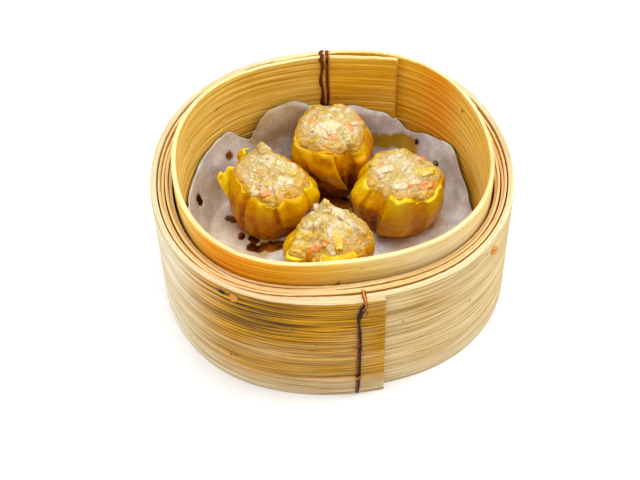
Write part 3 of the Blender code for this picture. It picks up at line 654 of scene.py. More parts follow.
def smooth_path(points, steps):
    """A Catmull-Rom curve through the points, evenly split between each two."""
    points = np.asarray(points, dtype=float)
    padded = np.concatenate([[2 * points[0] - points[1]], points, [2 * points[-1] - points[-2]]])
    place = np.linspace(0.0, len(points) - 1.0, steps)
    left = np.minimum(place.astype(int), len(points) - 2)
    t = (place - left)[:, None]
    a, b, c, d = (padded[left + k] for k in range(4))
    return 0.5 * (2 * b + (c - a) * t + (2 * a - 5 * b + 4 * c - d) * t ** 2
                  + (3 * b - a - 3 * c + d) * t ** 3)


def swept_strand(path, out, width, thickness, steps=60, sides=10, taper=0.6):
    """Points of a flat strand: an ellipse of that width and thickness carried along a smooth path.

    out holds a direction off the surface at each point of the path; the ends narrow to the taper.
    """
    line = smooth_path(path, steps)
    off = smooth_path(out, steps)
    tangent = np.gradient(line, axis=0)
    tangent /= np.linalg.norm(tangent, axis=1, keepdims=True)
    side = np.cross(tangent, off)
    side /= np.linalg.norm(side, axis=1, keepdims=True)
    off = np.cross(side, tangent)
    width = np.interp(np.linspace(0, 1, steps), np.linspace(0, 1, np.size(width)), np.atleast_1d(width))
    ends = np.minimum(1.0, taper + np.minimum(np.arange(steps), np.arange(steps)[::-1]) / 3.0)
    turn = np.arange(sides) * 2.0 * math.pi / sides
    return (line[:, None] + (0.5 * width * ends)[:, None, None] * np.cos(turn)[:, None] * side[:, None]
            + 0.5 * thickness * ends[:, None, None] * np.sin(turn)[:, None] * off[:, None])


def along_strand(grid):
    """The field "fibre" for a strand: its length, its way round, and a number for the strand."""
    step = np.linalg.norm(np.diff(grid.mean(axis=-2), axis=-2), axis=-1)
    length = np.concatenate([np.zeros(step.shape[:-1] + (1,)), np.cumsum(step, axis=-1)], axis=-1)
    round_it = np.arange(grid.shape[-2]) / grid.shape[-2] * 3.0 * MM
    number = np.arange(grid.shape[0]).reshape(-1, 1, 1) * 10.0 * MM
    return np.stack(np.broadcast_arrays(length[..., None], round_it, number), axis=-1)


def split_cane(name, dark, light, roughness):
    """Old split cane: brown with darker lengthwise fibres, dull with a faint polish."""
    material, tree, shader = new_material(name, Roughness=roughness, Specular_IOR_Level=0.12)
    fibre = add_node(tree, "Attribute", {"attribute_name": "fibre"}).outputs["Vector"]
    scaled = add_node(tree, "VectorMath", {"operation": "MULTIPLY"},
                      {0: fibre, 1: (1.0 / (3.5 * MM), 1.0 / (0.35 * MM), 1.0 / MM)})
    noise = add_node(tree, "TexNoise", None, {"Vector": scaled.outputs[0], "Scale": 1.0, "Detail": 3.0})
    ramp = add_node(tree, "MapRange", None,
                    {"Value": noise.outputs["Fac"], "From Min": 0.35, "From Max": 0.65})
    colour = add_node(tree, "Mix", {"data_type": "RGBA"},
                      {0: ramp.outputs[0], 6: linear(dark), 7: linear(light)})
    tree.links.new(colour.outputs[2], shader.inputs["Base Color"])
    relief = add_node(tree, "Bump", None, {"Height": noise.outputs["Fac"], "Distance": 0.25 * MM})
    tree.links.new(relief.outputs[0], shader.inputs["Normal"])
    return material


def sewn_strand(drops, stand, width, thickness, over_rim=None):
    """A strand down the front lap. drops are (angle in degrees, height in mm) from the top down."""
    degrees, heights = np.array(drops, dtype=float).T
    angle = np.radians(degrees)
    path = outer_hoop_place(angle, heights * MM, np.full_like(angle, stand))
    out, _ = hoop_frame(angle)
    if over_rim is not None:
        inward, _ = hoop_frame(angle[:1])
        top = OUTER_TOP + stand
        first = path[0] * np.array([1.0, 1.0, 0.0]) + np.array([0.0, 0.0, top])
        rim = [first[None] - (reach * MM + stand) * inward for reach in over_rim]
        path = np.concatenate(rim + [path])
        out = np.concatenate([np.array([[0.0, 0.0, 1.0]])] * len(rim) + [out])
    return swept_strand(path, out, np.asarray(width) * MM, thickness * MM)


brown_cane = split_cane("brown_split_cane", "401606", "9A4818", 0.55)
black_cane = split_cane("blackened_split_cane", "0B0505", "2E130A", 0.5)
orange_cane = split_cane("fresh_orange_cane", "A85510", "E0913A", 0.5)
black_parts = [
    sewn_strand([(-81.9, 59.6), (-82.4, 57.5), (-83.4, 53.0), (-83.7, 49.5), (-83.2, 42.0), (-83.1, 33.0),
                 (-83.3, 24.0), (-83.4, 14.0), (-83.6, 7.0), (-84.0, 1.0)], 0.8 * MM,
                (1.2, 2.2, 2.0, 0.8, 0.9, 0.8, 0.9, 0.8, 0.6), 0.7),
    sewn_strand([(-84.1, 33.0), (-83.3, 31.5), (-83.8, 30.0)], 1.0 * MM, (0.8, 1.7, 0.8), 0.9),
    sewn_strand([(-84.4, 14.0), (-83.6, 12.0), (-84.2, 10.0)], 1.0 * MM, (0.7, 1.6, 0.7), 0.9)]
brown_parts = [
    sewn_strand([(-81.6, 58.8), (-82.2, 56.0), (-83.3, 52.0), (-83.8, 46.0), (-83.8, 37.0), (-83.7, 30.0),
                 (-84.1, 22.0), (-84.0, 14.0), (-84.3, 6.0), (-84.5, 1.0)], 0.6 * MM,
                (1.7, 1.5, 1.0, 0.9, 0.9, 0.8, 0.7), 0.6, over_rim=(6.0, 3.5, 1.4, -0.2)),
    sewn_strand([(-81.9, 57.5), (-81.5, 56.0), (-81.2, 54.5), (-81.5, 53.2)], 0.9 * MM, (0.4, 0.3), 0.3),
    sewn_strand([(-82.8, 36.0), (-83.9, 33.5), (-83.0, 31.0), (-83.8, 28.5)], 1.0 * MM, (0.6, 0.8, 0.5), 0.5)]
orange_parts = [
    sewn_strand([(-81.7, 59.4), (-82.2, 58.0), (-82.7, 56.8)], 1.2 * MM, (0.9, 0.6, 0.3), 0.5,
                over_rim=(5.4, 2.6, 1.0, -0.3)),
    sewn_strand([(-82.7, 13.5), (-84.6, 12.3), (-82.9, 11.2)], 1.2 * MM, (0.5, 1.1, 0.4), 0.6),
    sewn_strand([(-83.9, 29.0), (-84.9, 30.4), (-83.7, 31.8)], 1.1 * MM, (0.4, 0.7, 0.3), 0.4)]
for tie_name, parts, cane in (("outer_tie_black_cane", black_parts, black_cane),
                              ("outer_tie_brown_cane", brown_parts, brown_cane),
                              ("outer_tie_orange_fray", orange_parts, orange_cane)):
    grid = np.stack(parts)
    tie = skin_grid(tie_name, grid, closed_columns=True, capped=True, fields={"fibre": along_strand(grid)})
    tie.data.materials.append(cane)
    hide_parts("outer_tie")
    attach(tie, "root")

# ---------------------------------------------------------------- inner tie
# Upright cane strands round both plies of the inner lap: two twisted together and one flat, with a paler
# edge, over the rim and a little way down the back. Split cane, dark brown and orange, a little polished.
TIE_DEGREES = 91.0
TIE_ANGLE = math.radians(TIE_DEGREES)


def upright_strand(shifts, stand, width, thickness, twist=0.0):
    """A strand up the inner wall, over the rim and down the back. shifts are (height, mm along)."""
    heights, along_mm = np.array(shifts, dtype=float).T
    out, along = hoop_frame(np.array(TIE_ANGLE))
    inside = float(inner_hoop_inside(np.array([TIE_ANGLE]))[0]) - stand
    outside = float(inner_hoop_outside(np.array([TIE_ANGLE]))[0]) + stand
    centre = np.array([INNER_CENTRE[0], INNER_CENTRE[1], 0.0])
    up = np.array([0.0, 0.0, 1.0])
    points = [centre + inside * out + shift * MM * along + height * MM * up
              for height, shift in zip(heights, along_mm)]
    last = along_mm[-1] * MM * along
    top = INNER_TOP + 0.35 * MM
    points += [centre + (inside + 0.5 * stand) * out + last + (top - 0.4 * MM) * up,
               centre + 0.5 * (inside + outside) * out + last + (top + 0.1 * MM) * up,
               centre + (outside - 0.5 * stand) * out + last + (top - 0.4 * MM) * up,
               centre + outside * out + last + 66.0 * MM * up, centre + outside * out + last + 59.0 * MM * up]
    outs = [-out] * len(heights) + [up - out, up, up + out, out, out]
    strand = swept_strand(points, outs, np.asarray(width) * MM, thickness * MM, steps=120, sides=12)
    if twist:
        line = strand.mean(axis=1, keepdims=True)
        turn = twist * np.linspace(0.0, 1.0, 120)[:, None]
        offset = strand - line
        side = offset[:, :1] / np.linalg.norm(offset[:, :1], axis=-1, keepdims=True)
        strand = strand + 0.35 * MM * np.sin(turn)[..., None] * side
    return strand


brown_uprights = np.stack([
    upright_strand([(17, 0.2), (30, -0.4), (38, 0.9), (46, 1.4), (56, 1.2), (66, 1.5)], 0.75 * MM,
                   (1.5, 1.4, 1.2, 1.3, 1.6, 1.3), 0.7, twist=42.0),
    upright_strand([(17, -0.6), (30, 0.5), (38, -0.2), (46, 0.6), (56, 1.9), (66, 0.7)], 0.9 * MM,
                   (0.9, 0.9, 0.8, 0.8), 0.6, twist=42.0),
    upright_strand([(17, 0.9), (30, -1.2), (38, -0.6), (46, -1.6), (56, -1.1), (66, -1.3)], 0.65 * MM,
                   (1.0, 1.3, 1.3, 1.5, 1.5), 0.5)])
orange_uprights = np.stack([
    upright_strand([(17, -1.3), (30, -1.9), (38, -1.3), (46, -2.2), (56, -2.0), (66, -2.1)], 0.5 * MM,
                   (0.6, 0.7, 0.6), 0.5)])
dark_cane = split_cane("dark_brown_split_cane", "2A0E04", "8A3E0E", 0.45)
for tie_name, grid, cane in (("inner_tie_brown_cane", brown_uprights, dark_cane),
                             ("inner_tie_pale_edge", orange_uprights, orange_cane)):
    tie = skin_grid(tie_name, grid, closed_columns=True, capped=True, fields={"fibre": along_strand(grid)})
    tie.data.materials.append(cane)
    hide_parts("inner_tie")
    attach(tie, "root")

# ---------------------------------------------------------------- liner
# A disc of thin greaseproof paper, wet with steam: flat under the food, turned up in soft folds at the
# wall, with a punched round hole. Dull grey-white, olive and glossy where juice has soaked it.
LINER_THICKNESS = 0.3 * MM
LINER_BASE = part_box("liner")[0][2]
# Height of the paper's edge at its folds, as (degrees, mm), and where it turns up later than elsewhere, as
# (degrees, half width, how much later).
LINER_EDGE = ((8, 19.0), (20, 27.0), (31, 36.5), (44, 32.5), (54, 28.5), (66, 39.0), (80, 42.5), (94, 43.0),
              (107, 47.5), (117, 46.0), (128, 32.0), (138, 42.0), (150, 40.0), (168, 35.0), (190, 29.0),
              (222, 24.0), (262, 21.0), (300, 18.0), (340, 16.8))
LINER_LATE_FOLDS = ((86, 54, 0.25), (166, 46, 0.15), (14, 40, 0.09))


def liner_edge_height(angle):
    """Height of the paper's edge at any angle: half a cosine wave from each fold to the next."""
    places, heights = np.array(LINER_EDGE).T
    places = np.concatenate([[places[-1] - 360.0], places, [places[0] + 360.0]])
    heights = np.concatenate([[heights[-1]], heights, [heights[0]]]) * MM
    degrees = np.degrees(angle) % 360.0
    after = np.searchsorted(places, degrees, side="right")
    share = (degrees - places[after - 1]) / (places[after] - places[after - 1])
    return heights[after - 1] + (heights[after] - heights[after - 1]) * (0.5 - 0.5 * np.cos(math.pi * share))


def liner_surface(share, angle):
    """The paper's under face: a flat middle, then a rise that steepens towards the wall."""
    wall = inner_hoop_inside(angle) - 1.2 * MM - 1.6 * MM * bump(angle, TIE_DEGREES, 16.0)
    fold = np.full_like(angle, 0.72)
    for degree, half_width, late in LINER_LATE_FOLDS:
        fold += late * bump(angle, degree, half_width)
    run = np.clip((share - fold) / (1.0 - fold), 0.0, 1.0)
    height = LINER_BASE + (liner_edge_height(angle) - LINER_BASE) * run ** 1.7
    radius = wall * share
    return np.stack([INNER_CENTRE[0] + radius * np.cos(angle), INNER_CENTRE[1] + radius * np.sin(angle),
                     height], axis=-1), run


def surface_normals(grid):
    """Unit normals of a grid of points, from the cross product of its two directions."""
    normal = np.cross(np.gradient(grid, axis=-3), np.gradient(grid, axis=-2))
    return normal / np.maximum(np.linalg.norm(normal, axis=-1, keepdims=True), 1e-12)


LINER_ROWS = 150
LINER_COLUMNS = 540
# The punched hole (x, y, radius), soaked places (x, y, radius, strength) and pools of juice (x, y,
# radius), in mm: x and y in plan, and the radius as the distance from that spot of the paper. The three
# pools in the gap between the dumplings also paint the shade that falls in that gap.
LINER_HOLES = ((-60.6, 15.5, 2.4),)
LINER_WET = ((-30.0, -4.0, 9.0, 0.8), (-60.0, 12.0, 26.0, 0.34), (-46.0, -14.0, 24.0, 0.30),
             (-50.0, 44.0, 20.0, 0.28), (4.0, 20.0, 14.0, 1.0), (10.0, -4.0, 12.0, 0.6),
             (-57.0, 22.0, 16.0, 0.45), (-24.0, 52.0, 24.0, 0.62), (-46.0, 30.0, 10.0, 0.3),
             (-56.0, -4.0, 30.0, 0.42), (14.0, 34.0, 9.0, 0.8), (34.0, -8.0, 9.0, 0.35),
             (47.0, 8.0, 7.0, 0.5))
LINER_JUICE_AND_SHADE = ((-36.0, -3.6, 3.2), (-32.5, -4.4, 3.8), (-28.5, -4.0, 4.0), (-24.0, -3.0, 4.5),
               (4.9, 22.0, 7.5), (-2.4, 25.0, 6.0), (12.0, 20.0, 5.0), (-41.6, 3.4, 2.6), (-37.6, 1.6, 2.2),
               (-47.5, 14.7, 2.7), (-45.8, 12.8, 2.2), (-35.0, -0.6, 2.0), (-47.2, 38.4, 3.0),
               (41.5, 49.2, 1.6), (-18.0, -1.5, 5.0))
liner_angles = np.arange(LINER_COLUMNS) * 2.0 * math.pi / LINER_COLUMNS
liner_shares = np.linspace(0.012, 1.0, LINER_ROWS)
share_grid, angle_grid = np.meshgrid(liner_shares, liner_angles, indexing="ij")
under, run = liner_surface(share_grid, angle_grid)
normal = surface_normals(np.concatenate([under, under[:, :1]], axis=1))[:, :-1]
normal *= np.sign(normal[..., 2:])
soft = lattice_noise(under, 13 * MM, 41) * 0.9 + lattice_noise(under, 5.5 * MM, 42) * 0.35
sharp = 0.5 - np.abs(lattice_noise(under, 9 * MM, 43))
sharp += 0.4 * (0.5 - np.abs(lattice_noise(under, 4 * MM, 44)))
lift = np.clip(0.25 + 0.9 * run, 0.0, 1.0)
relief = (soft + 0.9 * sharp) * lift * MM
folds = bump(angle_grid, 124.0, 10.0) * run ** 2 * 3.0 * MM
under = under + (np.clip(relief, -0.1 * MM, 3.0 * MM) + folds)[..., None] * normal
under[..., 2] += 0.35 * MM * lattice_noise(under, 2.0 * MM, 45) * run ** 6


def from_spot(x, y):
    """The straight distance, in mm, of every point of the paper from the one over (x, y)."""
    across = np.hypot(under[..., 0] - x * MM, under[..., 1] - y * MM)
    spot = under.reshape(-1, 3)[np.argmin(across)]
    return np.linalg.norm(under - spot, axis=-1) / MM


wet = np.zeros_like(run)
for x, y, reach, strength in LINER_WET:
    away = from_spot(x, y) / reach
    ragged = away + 0.35 * lattice_noise(under, 4.0 * MM, 47)
    wet = np.maximum(wet, strength * smooth_step(1.6 - 1.6 * ragged))
# A long oily streak across the standing paper at the back right, about 8 mm high.
across, tall = under[..., 0] / MM, under[..., 2] / MM + 0.7 * lattice_noise(under, 5.0 * MM, 49)
streak = smooth_step((tall - 19.0) / 1.5) * smooth_step((27.2 - tall) / 1.0) * (under[..., 1] > 40.0 * MM)
wet = np.maximum(wet, streak * smooth_step((across - 4.0) / 6.0) * smooth_step((44.0 - across) / 4.0))
# Pools of juice; those between the dumplings are also painted shade.
juice = np.zeros_like(run)
for x, y, reach in LINER_JUICE_AND_SHADE:
    away = from_spot(x, y) / reach
    juice = np.maximum(juice, smooth_step(3.0 - 3.0 * (away + 0.45 * lattice_noise(under, 2.6 * MM, 48))))
upper = under + LINER_THICKNESS * normal
sheet = np.concatenate([under, upper[::-1]])
wet, juice = np.concatenate([wet, wet[::-1]]), np.concatenate([juice, juice[::-1]])
liner = skin_grid("paper_liner", sheet, closed_columns=True, capped=True, fields={"wet": wet, "juice": juice})


def punch_holes(piece, rings, columns, holes):
    """Cuts round holes through both faces of the paper and joins their edges.

    Points close to a hole's circle move onto it, faces inside it go, and each open edge above is
    joined to the same edge below.
    """
    mesh = piece.data
    count = len(mesh.vertices)
    points = np.empty(count * 3)
    mesh.vertices.foreach_get("co", points)
    points = points.reshape(-1, 3)
    lower = np.arange(rings * columns)
    upper_twin = ((2 * rings - 1 - lower // columns) * columns) + lower % columns
    inside = np.zeros(rings * columns, dtype=bool)
    for x, y, radius in holes:
        across = np.linalg.norm(points[lower, :2] - np.array([x, y]) * MM, axis=1)
        away = points[lower] - points[np.argmin(across)]
        reach = np.linalg.norm(away, axis=1)
        wobble = radius * MM * (1.0 + 0.07 * np.sin(3.0 * np.arctan2(away[:, 1], away[:, 0]) + x))
        near = np.abs(reach - wobble) < 0.25 * MM
        moved = away * (wobble / np.maximum(reach, 1e-9))[:, None] - away
        for side in (lower, upper_twin):
            points[side[near]] += moved[near]
        inside |= (reach < wobble) & ~near
    mesh.vertices.foreach_set("co", points.ravel())
    edit = bmesh.new()
    edit.from_mesh(mesh)
    number = edit.verts.layers.int.new("number")
    for place, vertex in enumerate(edit.verts):
        vertex[number] = place
    edit.verts.ensure_lookup_table()
    doomed = [edit.verts[i] for i in np.concatenate([lower[inside], upper_twin[inside]])]
    bmesh.ops.delete(edit, geom=doomed, context="VERTS")
    by_number = {vertex[number]: vertex for vertex in edit.verts}
    open_edges = [edge for edge in edit.edges if edge.is_boundary
                  and max(vertex[number] for vertex in edge.verts) < rings * columns]
    for edge in open_edges:
        a, b = edge.verts
        edit.faces.new((a, b, by_number[int(upper_twin[b[number]])], by_number[int(upper_twin[a[number]])]))
    edit.verts.layers.int.remove(number)
    bmesh.ops.recalc_face_normals(edit, faces=edit.faces)
    edit.to_mesh(mesh)
    edit.free()
    mesh.shade_smooth()


punch_holes(liner, LINER_ROWS, LINER_COLUMNS, LINER_HOLES)
# Wet greaseproof paper: mottled grey-white with fine flecks where it is drier, olive and glossy where it is
# soaked, and dark brown in the pools of juice, which between the dumplings also paint the shade there.
paper, tree, shader = new_material("wet_greaseproof_paper", Specular_IOR_Level=0.35)
place = add_node(tree, "TexCoord").outputs["Object"]
mottle = add_node(tree, "TexNoise", None, {"Vector": place, "Scale": 1.0 / (9 * MM), "Detail": 4.0})
fine = add_node(tree, "TexNoise", None, {"Vector": place, "Scale": 1.0 / (1.1 * MM), "Detail": 4.0})
soaked = add_node(tree, "Attribute", {"attribute_name": "wet"}).outputs["Fac"]
mottled = add_node(tree, "MapRange", None,
                   {"Value": mottle.outputs["Fac"], "From Min": 0.35, "From Max": 0.65})
dry = add_node(tree, "Mix", {"data_type": "RGBA"},
               {0: mottled.outputs[0], 6: linear("B4ACA6"), 7: linear("D8D4D6")})
flecks = add_node(tree, "MapRange", None,
                  {"Value": fine.outputs["Fac"], "From Min": 0.3, "From Max": 0.7, "To Min": 0.55,
                   "To Max": 1.25})
flecked = add_node(tree, "Mix", {"data_type": "RGBA", "blend_type": "MULTIPLY"},
                   {0: 0.35, 6: dry.outputs[2], 7: flecks.outputs[0]})
juicy = add_node(tree, "Mix", {"data_type": "RGBA"},
                 {0: fine.outputs["Fac"], 6: linear("946E0C"), 7: linear("BE9A34")})
colour = add_node(tree, "Mix", {"data_type": "RGBA"},
                  {0: soaked, 6: flecked.outputs[2], 7: juicy.outputs[2]})
juice_and_shade_share = add_node(tree, "Attribute", {"attribute_name": "juice"}).outputs["Fac"]
thinned = add_node(tree, "MapRange", None,
                   {"Value": mottle.outputs["Fac"], "From Min": 0.4, "From Max": 0.62})
juice_and_shade_colour = add_node(tree, "Mix", {"data_type": "RGBA"},
                {0: thinned.outputs[0], 6: linear("2A0C02"), 7: linear("8C4A12")})
colour = add_node(tree, "Mix", {"data_type": "RGBA"},
                  {0: juice_and_shade_share, 6: colour.outputs[2], 7: juice_and_shade_colour.outputs[2]})
tree.links.new(colour.outputs[2], shader.inputs["Base Color"])
wettest = add_node(tree, "Math", {"operation": "MAXIMUM"}, {0: soaked, 1: juice_and_shade_share})
gloss = add_node(tree, "MapRange", None, {"Value": wettest.outputs[0], "To Min": 0.62, "To Max": 0.14})
tree.links.new(gloss.outputs[0], shader.inputs["Roughness"])
relief = add_node(tree, "Bump", None,
                  {"Height": mottle.outputs["Fac"], "Distance": 0.8 * MM, "Strength": 0.4})
tree.links.new(relief.outputs[0], shader.inputs["Normal"])
liner.data.materials.append(paper)
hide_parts("liner")
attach(liner, "root")

# ---------------------------------------------------------------- dumpling wrappers
# Thin wheat dough cups, steamed soft: yellow and glossy at the frilled edge, amber brown and translucent
# towards the foot, partly as painted shade, with painted shade in the folds and creases and painted light
# on the folds that stand out. Each is pinched in by hand, so no two pleats are alike.
# Sizes are in mm and angles in degrees. foot and crown are the cup's centres; rim is its edge's lowest
# and highest height and the side it rises to. creases are (angle, half width, depth) and flaps (angle,
# half width, out, up). tuck draws the top in, every 30 degrees, and hollow is a dent (angle, half width,
# depth). top is the filling's height, lean and share of cone, and peaks its lumps (x, y, radius, rise).
# shade is painted shade on a side (angle, half width, strength); a strength below 0 paints light there
# instead.
DUMPLINGS = {
    1: dict(foot=(-27.8, 17.8), crown=(-26.0, 17.0), foot_radius=17.4, crown_radius=(18.6, 17.8),
            rim=(36.6, 43.4, 122),
            creases=((20, 12, 1.4), (62, 13, 1.2), (105, 12, 1.2), (160, 11, 1.6), (205, 12, 1.5),
                     (243, 11, 1.6), (290, 12, 2.6), (335, 13, 1.4)),
            flaps=((177, 15, 1.6, 0.2), (142, 13, 1.0, 1.0), (268, 20, 1.0, -1.0), (320, 14, 0.8, 0.3),
                   (352, 24, 1.6, -2.4)),
            tuck=(4.5, 6.0, 7.0, 7.0, 4.2, 2.2, 2.4, 2.6, 2.2, 1.4, 2.2, 3.2), hollow=(48, 52, 2.6),
            top=(45.8, (-2.5, 4.5), 0.25), peaks=((-5.0, 11.0, 6.0, 5.6), (9.0, 3.0, 8.0, -1.2)),
            shade=(330, 60, 0.10)),
    2: dict(foot=(2.6, 40.8), crown=(1.2, 39.8), foot_radius=15.2, crown_radius=(18.6, 16.2),
            rim=(41.0, 46.4, 112),
            creases=((0, 12, 1.3), (48, 13, 1.2), (95, 12, 1.0), (140, 12, 1.3), (185, 12, 1.4),
                     (225, 13, 1.8), (293, 11, 3.4), (330, 12, 1.4)),
            flaps=((262, 28, 0.2, 3.2), (205, 13, 1.0, 0.8), (312, 14, 0.8, 0.4)),
            tuck=(2.6, 2.6, 1.8, 1.2, 1.2, 1.6, 1.8, 1.8, 2.0, 2.0, 1.8, 2.4), hollow=(0, 30, 0.0),
            top=(50.4, (0.0, 1.5), 0.05), peaks=((-3.0, 5.0, 6.0, 1.2), (8.0, 6.0, 5.0, 0.6)),
            shade=(285, 75, 0.26)),
    3: dict(foot=(29.8, 15.8), crown=(31.4, 14.6), foot_radius=17.2, crown_radius=(19.4, 18.4),
            rim=(37.6, 41.0, 90),
            creases=((30, 12, 1.2), (75, 13, 1.2), (120, 12, 1.3), (165, 12, 1.6), (228, 12, 3.2),
                     (283, 9, 1.6), (325, 12, 1.4)),
            flaps=((200, 18, 1.4, 0.4), (253, 13, 0.2, 4.2), (272, 20, 0.4, 4.4), (300, 14, 1.0, 0.6),
                   (-4, 13, 1.2, 1.6)),
            tuck=(1.4, 3.2, 4.4, 3.4, 2.2, 2.8, 4.6, 5.0, 2.6, 0.8, 1.2, 1.6), hollow=(50, 40, 1.0),
            top=(44.6, (0.0, 2.0), 0.05), peaks=((2.0, 12.0, 6.0, 1.4), (-7.0, 0.0, 5.0, 0.8)),
            shade=(300, 60, -0.02)),
    4: dict(foot=(-3.2, -17.2), crown=(-2.0, -17.6), foot_radius=17.2, crown_radius=(19.6, 17.6),
            rim=(35.4, 36.6, 270),
            creases=((10, 12, 1.3), (55, 13, 1.1), (100, 12, 1.2), (150, 13, 1.3), (192, 11, 1.6),
                     (243, 9, 1.8), (330, 12, 1.4)),
            flaps=((222, 20, 4.0, 1.0), (278, 22, 2.0, 0.6), (345, 14, 1.0, 0.8)),
            tuck=(0.8, 2.6, 5.0, 6.0, 6.5, 6.0, 4.5, 2.0, 1.0, 0.8, 0.8, 0.6), hollow=(130, 60, 2.0),
            top=(49.0, (-2.5, 6.0), 0.7), peaks=((-1.5, 8.0, 6.5, 4.0), (15.0, -2.5, 5.0, 2.2)),
            shade=(200, 75, -0.36))}
FOOT_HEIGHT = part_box("wrapper_1")[0][2]
WRAPPER_THICKNESS = 1.1 * MM


def cup_surface(shape, level, angle, inset):
    """The wrapper's wall: round at the foot, swelling and leaning to the crown, pinched in at the
    creases and pushed out and up at the flaps. level is 0 at the foot and 1 at the edge."""
    swell = smooth_step(0.15 + 0.85 * level) ** 0.8
    foot, crown = np.array(shape["foot"]), np.array(shape["crown"])
    wide = np.array(shape["crown_radius"])
    radius_x = shape["foot_radius"] + (wide[0] - shape["foot_radius"]) * swell
    radius_y = shape["foot_radius"] + (wide[1] - shape["foot_radius"]) * swell
    push = np.zeros(np.broadcast_shapes(np.shape(level), np.shape(angle)))
    rise = np.zeros_like(push)
    for degree, half_width, depth in shape["creases"]:
        push -= (0.32 * depth + 0.1 * depth ** 2) * (0.2 + 0.8 * level) * bump(angle, degree, half_width)
    for degree, half_width, out, lift in shape["flaps"]:
        form = level ** 2 * bump(angle, degree, half_width)
        push += out * form
        rise += lift * form
    low, high, uphill = shape["rim"]
    edge = low + (high - low) * 0.5 * (1.0 + np.cos(angle - math.radians(uphill)))
    foot_mm = FOOT_HEIGHT / MM
    height = foot_mm + (edge - foot_mm) * level + rise
    inset = inset / MM
    middle_x = OUTER_CENTRE[0] / MM + foot[0] + (crown[0] - foot[0]) * level
    middle_y = OUTER_CENTRE[1] / MM + foot[1] + (crown[1] - foot[1]) * level
    x = middle_x + (radius_x + push - inset) * np.cos(angle)
    y = middle_y + (radius_y + push - inset) * np.sin(angle)
    return np.stack(np.broadcast_arrays(x, y, height), axis=-1) * MM


def dough_relief(points, level, seed):
    """Soft pillows between the pleats, small wrinkles and fine unevenness, as a push in metres."""
    tall = np.array([1.0, 1.0, 2.4])
    puffs = np.abs(lattice_noise(points, 7.5 * MM * tall, seed)) - 0.3
    wrinkles = np.abs(lattice_noise(points, 3.2 * MM * tall, seed + 1)) - 0.3
    grain = lattice_noise(points, 1.1 * MM, seed + 2)
    return (1.5 * puffs * (0.3 + 0.7 * level) + 0.5 * wrinkles + 0.08 * grain) * MM


CUP_RADIUS_MM = 18.0
CUP_HEIGHT_MM = 27.0


def raised_patch(angle, level, corners):
    """How far inside a folded-over patch a point lies: 0 outside, 1 well inside.

    corners are (degrees, level, softness): the side from each corner to the next, anticlockwise as
    seen from outside, rises over its softness in mm, so a small one is a crisp fold.
    """
    turned = (angle - math.radians(corners[0][0]) + math.pi) % (2.0 * math.pi) - math.pi
    u, v = CUP_RADIUS_MM * turned, CUP_HEIGHT_MM * level
    spots = [(CUP_RADIUS_MM * math.radians(degree - corners[0][0]), CUP_HEIGHT_MM * part)
             for degree, part, _ in corners]
    inside = np.ones(np.broadcast_shapes(u.shape, v.shape))
    for (x, y), (x2, y2), (_, _, soft) in zip(spots, spots[1:] + spots[:1], corners):
        length = math.hypot(x2 - x, y2 - y)
        away = ((x2 - x) * (v - y) - (y2 - y) * (u - x)) / length
        inside = inside * smooth_step(away / soft)
    return inside


# Patches of dough folded over the wall: (height in mm, brightness, corners). The brightness is painted
# light and shade: above 0 it lightens a fold that stands out, below 0 it darkens a recess or a fold in shade.
FOLDS = {
    1: ((1.5, 0.05, ((-130, 0.12, 3.0), (-104, 0.10, 4.0), (-98, 1.10, 5.0), (-128, 1.10, 0.7))),
        (1.8, 0.12, ((-74, 0.25, 6.0), (-30, 0.25, 7.0), (-32, 1.10, 5.0), (-88, 1.12, 0.6))),
        (-0.7, -0.24, ((-84, 0.45, 2.0), (-77, 0.45, 0.8), (-86, 1.00, 2.0), (-95, 0.95, 2.5))),
        (-0.4, -0.14, ((-140, 0.25, 2.0), (-131, 0.15, 0.8), (-130, 0.95, 1.0), (-140, 0.95, 2.5))),
        (1.2, 0.10, ((-172, 0.2, 4.0), (-137, 0.15, 1.0), (-136, 1.1, 3.0), (-176, 1.1, 4.0))),
        (1.4, 0.12, ((-38, 0.1, 4.0), (-2, 0.1, 4.0), (0, 1.1, 3.0), (-36, 1.1, 1.5)))),
    2: ((1.6, -0.10, ((-68, 0.16, 0.7), (-84, 1.10, 1.6), (-126, 1.08, 3.0), (-124, 0.76, 3.0))),
        (1.6, 0.02, ((-64, 0.05, 3.0), (-36, 0.10, 4.0), (-34, 0.95, 2.0), (-60, 0.90, 0.8))),
        (1.5, 0.05, ((-175, 0.1, 4.0), (-128, 0.1, 1.6), (-126, 0.95, 2.0), (-170, 1.1, 4.0)))),
    3: ((2.8, 0.18, ((-126, 0.02, 6.0), (-66, 0.02, 7.0), (-62, 1.10, 2.0), (-109, 1.12, 0.6))),
        (-0.9, -0.12, ((-142, 0.10, 3.0), (-128, 0.10, 0.8), (-111, 1.10, 2.0), (-128, 1.05, 3.0))),
        (1.8, 0.16, ((-184, 0.10, 4.0), (-148, 0.10, 1.0), (-147, 1.1, 3.0), (-180, 1.1, 3.0))),
        (1.6, 0.10, ((-58, 0.1, 4.0), (-18, 0.2, 4.0), (-16, 1.1, 3.0), (-64, 1.1, 0.8)))),
    4: ((2.2, 0.20, ((-108, 0.30, 4.0), (-56, 0.30, 4.0), (-52, 1.1, 2.0), (-104, 1.1, 0.8))),
        (1.8, 0.15, ((-165, 0.2, 4.0), (-128, 0.2, 0.8), (-126, 1.1, 2.0), (-160, 1.1, 4.0))))}

